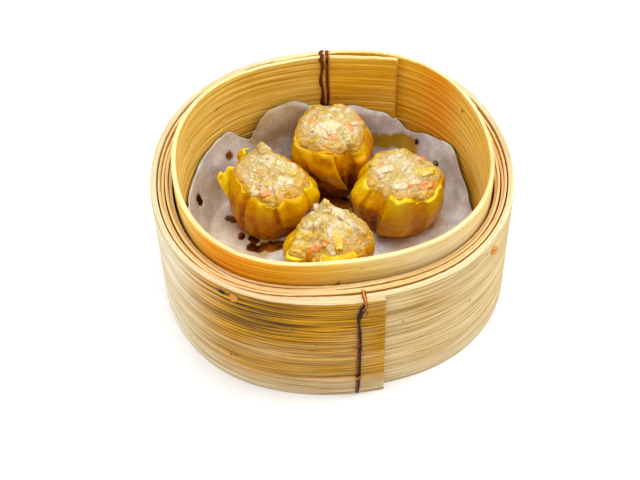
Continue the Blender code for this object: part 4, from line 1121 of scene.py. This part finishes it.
# Steamed wheat dough: a soft, wet skin that light enters, brown to yellow by the field "tone", which
# also holds painted light and shade, with pores drawn at 0.9 mm, coarser than the real ones, so that
# they show.
dough, tree, shader = new_material("steamed_wheat_dough", Roughness=0.38, Subsurface_Weight=0.2,
                                   Subsurface_Radius=(1.0, 0.5, 0.1), Subsurface_Scale=1.4 * MM,
                                   Coat_Weight=0.22, Coat_Roughness=0.10, IOR=1.42, Specular_IOR_Level=0.06)
place = add_node(tree, "TexCoord").outputs["Object"]
tone = add_node(tree, "Attribute", {"attribute_name": "tone"}).outputs["Fac"]
cloud = add_node(tree, "TexNoise", None, {"Vector": place, "Scale": 1.0 / (3.0 * MM), "Detail": 4.0})
shift = add_node(tree, "MapRange", None,
                 {"Value": cloud.outputs["Fac"], "From Min": 0.3, "From Max": 0.7, "To Min": -0.11,
                  "To Max": 0.12})
toned = add_node(tree, "Math", {"operation": "ADD", "use_clamp": True}, {0: tone, 1: shift.outputs[0]})
dough_ramp = add_node(tree, "ValToRGB", {"stops": (
    (0.0, linear("6A2C00")), (0.25, linear("AE6600")), (0.5, linear("C88E00")), (0.75, linear("D0AA04")),
    (1.0, linear("DECA30")))}, {"Fac": toned.outputs[0]})
tree.links.new(dough_ramp.outputs["Color"], shader.inputs["Base Color"])
pores = add_node(tree, "TexNoise", None, {"Vector": place, "Scale": 1.0 / (0.9 * MM), "Detail": 3.0})
relief = add_node(tree, "Bump", None,
                  {"Height": pores.outputs["Fac"], "Distance": 0.25 * MM, "Strength": 0.45})
tree.links.new(relief.outputs[0], shader.inputs["Normal"])

CUP_COLUMNS = 360
OUTER_ROWS = 84
LINING_ROWS = 30
cup_angles = (np.arange(CUP_COLUMNS) * 2.0 * math.pi / CUP_COLUMNS)[None, :]


def pouch_wall(number, level, angle, side, clear=0.0):
    """The wrapper as it is worn: the cup's wall bellied out, pleated and folded, and drawn in at the
    top by the tuck until it lies against the filling. side is 0 on the outer face and 1 on the inner
    one, clear a distance further in. Returns the points and the brightness of the dough, which holds
    painted light and shade as well as the dough's own colour."""
    shape = DUMPLINGS[number]
    level, angle, side = np.broadcast_arrays(level, angle, side)
    thin = WRAPPER_THICKNESS * (1.0 - 0.6 * level ** 4)
    grid = cup_surface(shape, level, angle, thin * side + clear)
    relief = dough_relief(cup_surface(shape, level, angle, 0.0), level, 60 + 10 * number) / MM
    push = relief + 1.2 * np.sin(math.pi * np.clip(level, 0.0, 1.0) ** 1.2)
    tone_with_painted_light = np.zeros_like(push)
    rise = np.zeros_like(push)
    # Each fold's brightness is painted light and shade.
    for high, bright, corners in FOLDS[number]:
        patch = raised_patch(angle, level, corners)
        push = push + high * patch * (1.0 - 0.75 * side)
        tone_with_painted_light += bright * patch
        rise += 0.4 * high * patch * level ** 4
    tuck = np.interp(angle % (2.0 * math.pi), np.radians(np.arange(13) * 30.0),
                     shape["tuck"] + shape["tuck"][:1])
    middle, half, deep = shape["hollow"]
    push -= tuck * smooth_step((level - 0.62) / 0.42) ** 1.15
    push -= deep * level * bump(angle, middle, half)
    out, _ = hoop_frame(angle)
    edge_spot = grid * np.array([1.0, 1.0, 0.0])
    ragged = 0.9 * lattice_noise(edge_spot, 4.0 * MM, 61 + number)
    ragged += 0.5 * lattice_noise(edge_spot, 1.5 * MM, 71 + number)
    grid = grid + (push * MM)[..., None] * out
    grid[..., 2] += (ragged * level ** 8 + rise - 0.25 * tuck * level ** 6
                     + 0.2 * np.sin(math.pi * side)) * MM
    # The brightness below also takes painted shade in the creases, painted light on the pillows, painted
    # shade in the dents, and a darkening towards the foot that is partly the dough's deeper colour and partly
    # painted shade.
    crease = np.zeros_like(push)
    for degree, half_width, depth in shape["creases"]:
        crease += 0.22 * depth * bump(angle, degree, half_width * 0.7)
    # The shade key paints shade on one side; a strength below 0 paints light there instead.
    middle, half, dusk = shape["shade"]
    tone_with_painted_light += 0.22 + 0.26 * level ** 1.2 + 0.26 * (smooth_step(0.5 + relief / 1.8) - 0.5) - 0.09 * crease
    tone_with_painted_light -= dusk * (1.0 - 0.5 * level) * bump(angle, middle, half) ** 0.5
    tone_with_painted_light += 0.22 * level ** 8
    return grid, np.clip(tone_with_painted_light, 0.0, 1.0)


for number in DUMPLINGS:
    levels = np.concatenate([np.linspace(0.0, 1.0, OUTER_ROWS), [1.0, 1.0, 1.0],
                             np.linspace(1.0, 0.45, LINING_ROWS)])[:, None]
    side = np.concatenate([np.zeros(OUTER_ROWS), [0.15, 0.5, 0.85], np.ones(LINING_ROWS)])[:, None]
    grid, tone = pouch_wall(number, levels, cup_angles, side)
    grid[0, :, 2] = FOOT_HEIGHT
    wrapper = skin_grid(f"wrapper_dough_{number}", grid, closed_columns=True, capped=True,
                        fields={"tone": tone})
    wrapper.data.materials.append(dough)
    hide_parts(f"wrapper_{number}")
    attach(wrapper, "root")

# ---------------------------------------------------------------- loose flaps of dough
# Corners of the square wrappers that stand off the cups: a tongue and an ear on the left one, a folded
# corner on the back one, folded and curled ends on the front one. Same dough, thin and bright yellow.


def dough_leaf(control, thickness, steps=(26, 34), seed=5):
    """A curved leaf through a grid of control points (rows, columns, mm), thickened both ways.

    Rows and columns are joined by smooth curves; the two faces part by a thickness that falls to a
    fifth along the border, so the rim is soft. Columns run round both faces, so the leaf is closed.
    """
    control = np.array(control, dtype=float) * MM
    wide = np.stack([smooth_path(row, steps[1]) for row in control])
    face = np.stack([smooth_path(wide[:, i], steps[0]) for i in range(steps[1])], axis=1)
    normal = surface_normals(face)
    face = face + (0.5 * lattice_noise(face, 3.0 * MM, seed) + 0.2 * lattice_noise(face, 1.2 * MM, seed + 1)
                   )[..., None] * MM * normal
    rows, columns = np.meshgrid(np.linspace(0, 1, steps[0]), np.linspace(0, 1, steps[1]), indexing="ij")
    inner = np.minimum(np.minimum(rows, 1 - rows), np.minimum(columns, 1 - columns))
    half = 0.5 * thickness * MM * (0.2 + 0.8 * smooth_step(inner / 0.10))
    above, below = face + half[..., None] * normal, face - half[..., None] * normal
    grid = np.concatenate([above, below[:, ::-1]], axis=1)
    tone = np.concatenate([inner, inner[:, ::-1]], axis=1)
    return grid, tone


def on_wall(number, rows):
    """Control points given as (degrees, level, mm off the wall), as points in mm."""
    degrees, levels, stand = np.moveaxis(np.array(rows, dtype=float), -1, 0)
    wall, _ = pouch_wall(number, levels, np.radians(degrees), 0.0)
    out, _ = hoop_frame(np.radians(degrees))
    return wall / MM + stand[..., None] * out


# Each leaf: its dumpling, its thickness in mm, its brightness, and its rows of control points in mm.
LEAVES = {
    "tongue_flap_1": (1, 1.5, 0.70, [
        [(-45.4, 12.2, 26.5), (-45.0, 13.0, 26.5), (-44.2, 13.8, 26.5), (-43.2, 14.4, 26.5),
         (-41.6, 15.0, 26.5)],
        [(-47.4, 12.2, 31.5), (-46.6, 13.8, 31.5), (-45.4, 15.2, 31.5), (-44.0, 16.2, 31.4),
         (-42.0, 17.0, 31.4)],
        [(-49.6, 13.4, 36.0), (-48.4, 15.6, 36.4), (-46.8, 17.2, 36.4), (-45.0, 18.6, 36.2),
         (-42.0, 19.6, 36.0)],
        [(-51.0, 15.2, 40.2), (-49.8, 17.4, 41.8), (-48.0, 18.8, 39.4), (-46.2, 20.8, 41.4),
         (-42.6, 21.4, 40.0)]]),
    "ear_flap_1": (1, 0.9, 0.66, [
        [(-40.2, 23.6, 35.0), (-41.4, 26.2, 35.5), (-39.8, 28.8, 36.0)],
        [(-40.2, 24.0, 40.0), (-41.8, 26.8, 40.4), (-39.6, 29.4, 40.8)],
        [(-39.4, 24.6, 43.2), (-41.0, 27.0, 43.6), (-38.6, 29.2, 43.8)],
        [(-38.2, 25.2, 44.6), (-38.2, 26.8, 45.4), (-36.6, 28.2, 45.2)]]),
    "corner_flap_2": (2, 1.0, 0.40, on_wall(2, [
        [(-152, 0.97, 0.2), (-130, 1.00, 0.3), (-109, 1.01, 0.4), (-90, 1.03, 0.8)],
        [(-141, 0.86, 0.5), (-121, 0.84, 0.5), (-103, 0.84, 0.9), (-87, 0.84, 1.8)],
        [(-128, 0.72, 0.6), (-112, 0.68, 0.7), (-98, 0.66, 1.2), (-83, 0.66, 2.2)],
        [(-113, 0.54, 0.6), (-101, 0.50, 1.0), (-90, 0.48, 1.5), (-78, 0.46, 2.2)],
        [(-82, 0.32, 1.0), (-79, 0.31, 1.3), (-76, 0.30, 1.6), (-73, 0.29, 2.0)]])),
    "folded_lip_4": (4, 1.4, 0.80, [
        [(-6.6, -33.0, 34.0), (-2.0, -35.6, 34.0), (4.0, -35.6, 33.8), (9.5, -32.4, 33.4)],
        [(-6.4, -33.6, 37.4), (-2.0, -36.2, 37.6), (4.0, -36.0, 37.4), (9.8, -32.6, 36.6)],
        [(-5.4, -31.6, 39.0), (-1.6, -33.8, 39.8), (4.2, -33.6, 39.4), (9.4, -30.6, 38.2)],
        [(-5.0, -29.4, 37.6), (-1.4, -31.2, 38.6), (4.0, -31.0, 38.2), (8.4, -28.8, 37.4)]]),
    "curled_end_4": (4, 0.8, 0.70, [
        [(-5.0, -33.8, 32.5), (-7.6, -34.6, 32.5), (-8.6, -33.0, 32.5), (-7.0, -31.8, 32.5),
         (-5.2, -32.6, 32.5)],
        [(-4.8, -33.8, 35.0), (-7.8, -34.8, 35.2), (-8.8, -33.0, 35.4), (-7.0, -31.6, 35.4),
         (-5.0, -32.4, 35.1)],
        [(-4.6, -33.8, 37.0), (-7.8, -34.6, 37.4), (-8.8, -33.0, 37.6), (-6.8, -31.4, 37.6),
         (-4.8, -32.4, 37.2)]]),
    "inner_fold_4": (4, 1.1, 0.34, [
        [(-19.0, -23.5, 31.0), (-17.6, -27.5, 31.0), (-14.0, -30.0, 31.0), (-10.0, -31.4, 31.0)],
        [(-19.4, -23.2, 35.0), (-17.8, -27.8, 35.6), (-13.8, -30.4, 36.2), (-9.8, -31.6, 36.4)],
        [(-17.6, -22.0, 39.0), (-15.2, -26.0, 39.6), (-12.0, -28.6, 39.0), (-9.2, -30.0, 38.4)],
        [(-15.4, -21.0, 40.6), (-12.8, -24.0, 40.6), (-10.4, -26.8, 39.4), (-8.4, -28.6, 38.6)]])}
for leaf_name, (number, thickness, bright, control) in LEAVES.items():
    grid, inner = dough_leaf(control, thickness, seed=140 + len(leaf_name))
    tone = bright + 0.22 * (1.0 - smooth_step(inner / 0.12)) + 0.12 * lattice_noise(grid, 3.0 * MM, 9)
    leaf = skin_grid(leaf_name, grid, closed_columns=True, capped=True,
                     fields={"tone": np.clip(tone, 0.0, 1.0)})
    leaf.data.materials.append(dough)
    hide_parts(f"wrapper_{number}")
    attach(leaf, "root")

# ---------------------------------------------------------------- dumpling fillings
# Coarse minced pork and prawn, steamed firm: pale pink and cream lumps, deeper amber in the hollows between
# them.


SHOULDER_LEVEL = 0.955
FILLING_CLEAR = 0.12 * MM


def dome_surface(number, share, angle):
    """The filling's top: the ring of the wrapper's edge shrunk towards a point and lifted, part dome
    and part cone, with single peaks and dips of its own."""
    shape = DUMPLINGS[number]
    ring, _ = pouch_wall(number, SHOULDER_LEVEL, np.arange(72) * math.pi / 36, 1.0, FILLING_CLEAR)
    middle = ring[:, :2].mean(axis=0)
    shoulder, _ = pouch_wall(number, SHOULDER_LEVEL, angle, 1.0, FILLING_CLEAR)
    high, lean, cone = shape["top"]
    dome = np.sqrt(np.clip(1.0 - share ** 2, 0.0, 1.0)) ** (2.0 / 2.3)
    lift = (1.0 - cone) * dome + cone * (1.0 - share ** 1.3)
    part = share[..., None]
    flat = middle + (shoulder[..., :2] - middle) * part + np.array(lean) * MM * (1.0 - part ** 2)
    height = shoulder[..., 2] + (high * MM - shoulder[..., 2]) * lift
    local = (flat - OUTER_CENTRE) / MM - np.array(shape["crown"])
    for x, y, radius, rise in shape["peaks"]:
        away = np.hypot(local[..., 0] - x, local[..., 1] - y) / radius
        height = height + rise * MM * smooth_step(1.0 - away) * smooth_step((1.0 - share) / 0.15)
    return np.concatenate([flat, height[..., None]], axis=-1)


# Steamed pork mince: wet and soft to the light, in cream and pale lumps, deeper amber in the hollows between
# them and towards the rim, and diced vegetable sunk in it. Its grains are drawn at 0.9 mm, so that they show.
mince, tree, shader = new_material("steamed_pork_mince", Roughness=0.34, Subsurface_Weight=0.3,
                                   Subsurface_Radius=(1.0, 0.6, 0.35), Subsurface_Scale=1.6 * MM,
                                   Coat_Weight=0.25, Coat_Roughness=0.12, IOR=1.42, Specular_IOR_Level=0.35)
place = add_node(tree, "TexCoord").outputs["Object"]
tone = add_node(tree, "Attribute", {"attribute_name": "tone"}).outputs["Fac"]
rim_share = add_node(tree, "Attribute", {"attribute_name": "rim"}).outputs["Fac"]
wander = add_node(tree, "TexNoise", None, {"Vector": place, "Scale": 1.0 / (3.0 * MM), "Detail": 2.0})
warped = add_node(tree, "VectorMath", {"operation": "MULTIPLY_ADD"},
                  {0: wander.outputs["Color"], 1: (2.5 * MM, 2.5 * MM, 2.5 * MM), 2: place})
cells = add_node(tree, "TexVoronoi", {"feature": "SMOOTH_F1"},
                 {"Vector": warped.outputs[0], "Scale": 1.0 / (2.8 * MM), "Smoothness": 0.35})
cell_shade = add_node(tree, "SeparateColor", None, {0: cells.outputs["Color"]})
lean = add_node(tree, "ValToRGB", {"stops": (
    (0.0, linear("C4A444")), (0.22, linear("D0C29A")), (0.42, linear("CAB45C")), (0.62, linear("D6CCB4")),
    (0.82, linear("D2C49A")), (1.0, linear("C8B038")))}, {"Fac": cell_shade.outputs[0]})
cloud = add_node(tree, "TexNoise", None, {"Vector": place, "Scale": 1.0 / (2.0 * MM), "Detail": 3.0})
deep = add_node(tree, "Mix", {"data_type": "RGBA"},
                {0: cloud.outputs["Fac"], 6: linear("BC8E28"), 7: linear("CCAE50")})
colour = add_node(tree, "Mix", {"data_type": "RGBA"}, {0: tone, 6: deep.outputs[2], 7: lean.outputs["Color"]})
grains = add_node(tree, "TexNoise", None, {"Vector": place, "Scale": 1.0 / (0.9 * MM), "Detail": 2.0})
speck = add_node(tree, "ValToRGB", {"stops": (
    (0.26, linear("B88428")), (0.38, linear("DAD4BE")), (0.58, linear("DED8C4")), (0.70, linear("FFFCF2")))},
    {"Fac": grains.outputs["Fac"]})
colour = add_node(tree, "Mix", {"data_type": "RGBA", "blend_type": "MULTIPLY"},
                  {0: 0.66, 6: colour.outputs[2], 7: speck.outputs["Color"]})
soaked = add_node(tree, "MapRange", None,
                  {"Value": cloud.outputs["Fac"], "From Min": 0.35, "From Max": 0.65, "To Min": 0.3,
                   "To Max": 1.0})
soaked = add_node(tree, "Math", {"operation": "MULTIPLY", "use_clamp": True},
                  {0: rim_share, 1: soaked.outputs[0]})
colour = add_node(tree, "Mix", {"data_type": "RGBA"},
                  {0: soaked.outputs[0], 6: colour.outputs[2], 7: linear("C8940C")})
for kind, share, dark, light in (("chestnut", 0.72, "C8B88C", "E0D8B8"), ("pepper", 0.75, "BE9010", "DEC438"),
                                 ("carrot", 0.8, "D0701C", "E4924A")):
    there = add_node(tree, "Attribute", {"attribute_name": kind}).outputs["Fac"]
    there = add_node(tree, "Math", {"operation": "MULTIPLY"}, {0: there, 1: share})
    diced = add_node(tree, "Mix", {"data_type": "RGBA"},
                     {0: cloud.outputs["Fac"], 6: linear(dark), 7: linear(light)})
    colour = add_node(tree, "Mix", {"data_type": "RGBA"},
                      {0: there.outputs[0], 6: colour.outputs[2], 7: diced.outputs[2]})
tree.links.new(colour.outputs[2], shader.inputs["Base Color"])
pores = add_node(tree, "TexNoise", None, {"Vector": place, "Scale": 1.0 / (0.8 * MM), "Detail": 3.0})
relief = add_node(tree, "Bump", None,
                  {"Height": pores.outputs["Fac"], "Distance": 0.3 * MM, "Strength": 0.45})
tree.links.new(relief.outputs[0], shader.inputs["Normal"])


def mince_relief(grid, number):
    """Soft lumps of three sizes and fine crumbs, in mm off the dome."""
    lumpy = lattice_noise(grid, 6.0 * MM, 100 + number) * 0.9
    lumpy += (np.abs(lattice_noise(grid, 3.0 * MM, 110 + number)) - 0.3) * 0.5
    lumpy += lattice_noise(grid, 1.5 * MM, 120 + number) * 0.26
    return lumpy + lattice_noise(grid, 0.8 * MM, 130 + number) * 0.20


def cut_pieces(grid, number, pieces):
    """Where diced pieces lie near the surface of a filling: 1 inside a piece and 0 outside, with
    torn edges. pieces are (x, y, length, width, height, turn) from the crown, in mm and degrees."""
    local = (grid[..., :2] - OUTER_CENTRE) / MM - np.array(DUMPLINGS[number]["crown"])
    tear = 0.22 * lattice_noise(grid, 1.6 * MM, 150 + number)
    tear += 0.16 * lattice_noise(grid, 0.8 * MM, 160 + number)
    inside = np.zeros(local.shape[:-1])
    for x, y, long, wide, _, turn in pieces:
        across, turn = local - np.array([x, y]), math.radians(turn)
        u = np.abs(across[..., 0] * math.cos(turn) + across[..., 1] * math.sin(turn)) / (0.55 * long)
        v = np.abs(across[..., 1] * math.cos(turn) - across[..., 0] * math.sin(turn)) / (0.55 * wide)
        away = (u ** 3 + v ** 3) ** (1.0 / 3.0) + tear
        inside = np.maximum(inside, smooth_step((1.15 - away) / 0.4))
    return inside


# Diced pieces, each (x, y, length, width, height, turn) from the crown, in mm and degrees. Of the carrot
# and the pepper, the first of a kind, and any as high as PROUD_HEIGHT, also stands out of the mince as a
# piece of its own.
PROUD_HEIGHT = 2.3
BITS = {
    "carrot": {1: [(-3.3, -13.0, 4.6, 2.6, 2.4, 20), (-9.5, 6.5, 2.2, 1.6, 1.4, 70),
                   (-6.0, -3.5, 1.8, 1.4, 1.2, 0), (14.4, 1.0, 2.6, 1.6, 1.6, 80)],
               2: [(8.1, -2.6, 2.0, 5.6, 2.0, 8), (-0.3, -9.5, 4.4, 1.8, 1.6, 10),
                   (3.0, 12.5, 6.5, 1.6, 1.4, -8), (-8.7, 1.0, 3.6, 2.0, 1.4, 30),
                   (14.6, -3.2, 1.8, 3.4, 1.4, 0), (12.5, 4.0, 1.6, 3.0, 1.4, -20)],
               3: [(10.6, -9.6, 8.0, 3.0, 2.6, 24), (12.0, 7.4, 5.6, 3.0, 2.2, -12),
                   (-8.8, 3.4, 2.6, 1.8, 1.4, 40), (3.5, -11.0, 3.4, 1.5, 1.4, 10)],
               4: [(-1.4, -10.4, 3.4, 2.2, 2.0, 30), (-5.2, -11.0, 4.4, 2.2, 2.0, -20),
                   (-7.6, -10.4, 2.6, 1.8, 1.6, 10), (6.6, -8.5, 1.8, 1.4, 1.2, 0),
                   (11.8, -6.5, 2.4, 1.4, 1.4, 50)]},
    "pepper": {1: [(9.0, -1.6, 4.6, 3.6, 3.0, 12), (-2.3, -8.6, 3.2, 1.8, 1.6, 40),
                   (-10.5, -10.0, 1.8, 3.2, 1.6, 20), (-3.0, -15.0, 4.0, 1.5, 1.3, 0),
                   (4.5, 10.5, 3.0, 1.6, 1.4, -30)],
               2: [(9.0, 9.0, 4.6, 1.6, 1.4, -30), (-7.0, -8.0, 4.0, 1.6, 1.4, 20),
                   (14.0, 7.5, 2.4, 1.6, 1.4, -60)],
               3: [(10.4, -3.0, 9.4, 4.4, 3.0, 14), (-0.6, 9.2, 5.0, 2.0, 2.0, 20),
                   (-11.8, 5.6, 2.2, 3.4, 1.6, 0), (2.7, 15.4, 5.6, 2.0, 2.4, 0),
                   (-10.5, 10.0, 2.0, 3.4, 1.6, -30)],
               4: [(3.5, -9.5, 3.2, 9.6, 2.6, 4), (-0.5, 6.0, 2.4, 4.0, 2.0, 10),
                   (-9.0, -6.5, 4.0, 2.4, 2.0, 40), (-12.5, -6.0, 3.0, 4.2, 2.0, -20),
                   (-5.5, -6.0, 3.6, 1.8, 1.6, 70), (-3.0, -7.8, 2.8, 1.8, 1.6, 20),
                   (8.0, -5.0, 2.4, 3.2, 1.6, 0), (-10.5, -9.6, 3.2, 1.8, 1.6, 10),
                   (-14.0, -3.0, 4.5, 6.0, 1.4, 10), (-13.5, -10.5, 5.0, 4.5, 1.4, -20),
                   (-12.0, 3.0, 3.5, 4.0, 1.4, 30)]},
    "chestnut": {1: [(-8.1, -12.0, 3.6, 2.2, 1.8, 20), (-8.8, -10.0, 2.4, 1.6, 1.4, 60),
                     (4.0, -6.5, 4.2, 3.0, 2.0, 50), (7.5, -7.0, 3.4, 2.4, 1.8, 20),
                     (-4.6, 2.0, 3.2, 2.4, 1.6, 0), (2.6, 1.5, 3.0, 2.0, 1.6, 80)],
                 2: [(-2.4, -3.8, 10.5, 5.6, 3.4, 16), (5.6, -9.5, 2.6, 1.8, 1.4, 30),
                     (0.5, 8.5, 3.4, 2.2, 1.6, 0), (4.6, 3.0, 3.0, 2.0, 1.6, 50)],
                 3: [(-7.5, -1.0, 7.4, 3.6, 2.6, 6), (-1.8, -11.6, 6.6, 3.0, 2.4, -4),
                     (5.5, -9.0, 4.2, 2.2, 1.8, 10), (-4.5, 6.0, 3.4, 2.2, 1.6, 40)],
                 4: [(4.4, 3.6, 5.0, 4.0, 1.6, -10), (8.7, -1.6, 3.2, 5.4, 1.6, 12),
                     (-11.6, -1.8, 3.2, 2.6, 2.0, 0), (-4.5, -1.5, 3.0, 2.2, 1.6, 30)]}}

DOME_ROWS = 110
SKIRT_ROWS = 12
for number in DUMPLINGS:
    shares = np.sin(np.linspace(0.5 * math.pi, 0.02, DOME_ROWS))[:, None]
    top = dome_surface(number, shares * np.ones_like(cup_angles), cup_angles)
    skirt = np.linspace(0.6, 0.94, SKIRT_ROWS)[:, None]
    wall, _ = pouch_wall(number, skirt, cup_angles, 1.0, FILLING_CLEAR)
    grid = np.concatenate([wall, top])
    normal = surface_normals(np.concatenate([grid, grid[:, :1]], axis=1))[:, :-1]
    outwards = np.sum(normal * (grid - grid.mean(axis=(0, 1))), axis=-1, keepdims=True)
    normal *= np.where(outwards < 0, -1.0, 1.0)
    lumpy = mince_relief(grid, number)
    diced = {kind: cut_pieces(grid, number, BITS[kind][number]) for kind in BITS}
    lumpy = lumpy + 0.5 * diced["chestnut"] + 0.4 * diced["pepper"] + 0.3 * diced["carrot"]
    free = smooth_step((np.arange(len(grid))[:, None] - 10.0) / 16.0)
    grid = grid + (lumpy * free * MM)[..., None] * normal
    edge = smooth_step((np.concatenate([np.ones((SKIRT_ROWS, 1)),
                                        shares]) - 0.72) / 0.26) * np.ones_like(lumpy)
    filling = skin_grid(f"filling_mince_{number}", grid, closed_columns=True, capped=True,
                        fields={"tone": np.clip(0.85 + 0.5 * lumpy, 0.0, 1.0), "rim": edge, **diced})
    filling.data.materials.append(mince)
    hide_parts(f"filling_{number}")
    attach(filling, "root")

# ---------------------------------------------------------------- bits in the fillings
# What stands out of the mince: cut carrot, yellow pepper or egg, scraps of pork and one dark leaf of
# herb. All of it wet and glossy, sunk into the filling where it lies.


def lumps(centres, sizes, seed, rough=0.16, boxy=1.0, turns=None):
    """Rounded or boxy lumps: a ball whose coordinates are raised to the boxy power, with noise on its
    radius, stretched to its size and turned at random or by the given angles about Z."""
    random = np.random.default_rng(seed)
    centres, sizes = np.atleast_2d(centres) * MM, np.atleast_2d(sizes) * MM
    many = len(centres)
    around = np.arange(16) * 2.0 * math.pi / 16
    down = np.linspace(0.16, math.pi - 0.16, 11)
    ball = np.stack([np.sin(down)[:, None] * np.cos(around), np.sin(down)[:, None] * np.sin(around),
                     np.cos(down)[:, None] * np.ones(16)], axis=-1)
    ball = np.sign(ball) * np.abs(ball) ** boxy
    spots = ball[None] + random.uniform(0.0, 90.0, (many, 1, 1, 3))
    radius = 1.0 + rough * lattice_noise(spots, 0.9, seed)
    radius += 0.6 * rough * lattice_noise(spots, 0.45, seed + 1)
    points = ball[None] * radius[..., None] * 0.5 * sizes[:, None, None, :]
    if turns is None:
        frames, _ = np.linalg.qr(random.normal(size=(many, 3, 3)))
    else:
        turns = np.radians(np.atleast_1d(turns))
        zero, one = 0.0 * turns, 1.0 + 0.0 * turns
        frames = np.stack([np.stack([np.cos(turns), np.sin(turns), zero], -1),
                           np.stack([-np.sin(turns), np.cos(turns), zero], -1),
                           np.stack([zero, zero, one], -1)], axis=1)
    return np.einsum("nrcx,nxy->nrcy", points, frames) + centres[:, None, None]


def on_dome(number, x, y, sink=0.0):
    """The point of a filling's dome at (x, y) mm from the crown, and sink mm below it."""
    shape = DUMPLINGS[number]
    crown = np.array(shape["crown"])
    best_share, best_angle = np.meshgrid(np.linspace(0.0, 1.0, 60), np.linspace(0.0, 2.0 * math.pi, 181))
    points = dome_surface(number, best_share, best_angle).reshape(-1, 3) / MM
    points = points + np.stack([0 * points[:, 0], 0 * points[:, 0],
                                np.maximum(mince_relief(points * MM, number), -0.5)], axis=-1)
    x, y = np.atleast_1d(x), np.atleast_1d(y)
    target = np.stack([x, y], axis=-1) + crown + OUTER_CENTRE / MM
    nearest = np.argmin(np.linalg.norm(points[None, :, :2] - target[:, None], axis=-1), axis=1)
    found = points[nearest]
    found[:, 2] -= np.ravel(sink)
    return found


def wet_food(name, colours, spacing, roughness=0.28, subsurface=0.35):
    """A wet, slightly translucent morsel in two blended tones."""
    material, tree, shader = new_material(name, Roughness=roughness, Subsurface_Weight=subsurface,
                                          Subsurface_Radius=(1.0, 0.6, 0.35), Subsurface_Scale=1.5 * MM,
                                          Coat_Weight=0.3, Coat_Roughness=0.12, Specular_IOR_Level=0.3)
    place = add_node(tree, "TexCoord").outputs["Object"]
    cloud = add_node(tree, "TexNoise", None, {"Vector": place, "Scale": 1.0 / spacing, "Detail": 3.0})
    spread = add_node(tree, "MapRange", None,
                      {"Value": cloud.outputs["Fac"], "From Min": 0.35, "From Max": 0.65})
    colour = add_node(tree, "Mix", {"data_type": "RGBA"},
                      {0: spread.outputs[0], 6: linear(colours[0]), 7: linear(colours[1])})
    tree.links.new(colour.outputs[2], shader.inputs["Base Color"])
    relief = add_node(tree, "Bump", None,
                      {"Height": cloud.outputs["Fac"], "Distance": 0.3 * MM, "Strength": 0.5})
    tree.links.new(relief.outputs[0], shader.inputs["Normal"])
    return material


carrot = wet_food("steamed_carrot", ("D07420", "E69448"), 1.6 * MM)
pepper = wet_food("yellow_pepper_and_egg", ("C0961C", "DCC048"), 2.0 * MM)
pink_meat = wet_food("pink_minced_pork", ("C6AA7C", "D4C4A4"), 1.8 * MM)
herb = wet_food("dark_herb_leaf", ("1E1A08", "5A5A18"), 0.8 * MM, 0.4, 0.0)
for kind, material in (("carrot", carrot), ("pepper", pepper)):
    for number in DUMPLINGS:
        first = BITS[kind][number][0]
        bits = np.array([bit for bit in BITS[kind][number] if bit[4] >= PROUD_HEIGHT or bit is first])
        centres = on_dome(number, bits[:, 0], bits[:, 1], sink=0.22 * bits[:, 4:5])
        grid = lumps(centres, bits[:, 2:5], 200 + number, rough=0.45, boxy=0.75, turns=bits[:, 5])
        piece = skin_grid(f"{kind}_bits_{number}", grid, closed_columns=True, capped=True)
        piece.data.materials.append(material)
        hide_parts(f"filling_{number}")
        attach(piece, "root")
SCRAPS = 16
for number in DUMPLINGS:
    random = np.random.default_rng(300 + number)
    turn, share = random.uniform(0.0, 2.0 * math.pi, SCRAPS), np.sqrt(random.uniform(0.02, 0.95, SCRAPS))
    reach = share * (DUMPLINGS[number]["crown_radius"][1] - 2.5 - np.mean(DUMPLINGS[number]["tuck"]))
    centres = on_dome(number, reach * np.cos(turn), reach * np.sin(turn), sink=1.0)
    sizes = random.uniform(2.0, 4.6, (SCRAPS, 1)) * random.uniform(0.5, 1.2, (SCRAPS, 3))
    piece = skin_grid(f"pork_scraps_{number}", lumps(centres, sizes, 400 + number, rough=0.3),
                      closed_columns=True, capped=True)
    piece.data.materials.append(pink_meat)
    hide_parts(f"filling_{number}")
    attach(piece, "root")
leaf_centres = on_dome(3, [15.6, 16.4, 15.0], [3.4, 5.6, 5.0], sink=[[-0.8], [-1.6], [-1.2]])
leaf_sizes = [(2.6, 2.4, 3.0), (1.0, 1.0, 4.6), (2.2, 1.4, 1.4)]
leaf = skin_grid("herb_leaf_3", lumps(leaf_centres, leaf_sizes, 431, rough=0.35, turns=[10, 20, 60]),
                 closed_columns=True, capped=True)
leaf.data.materials.append(herb)
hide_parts("filling_3")
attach(leaf, "root")
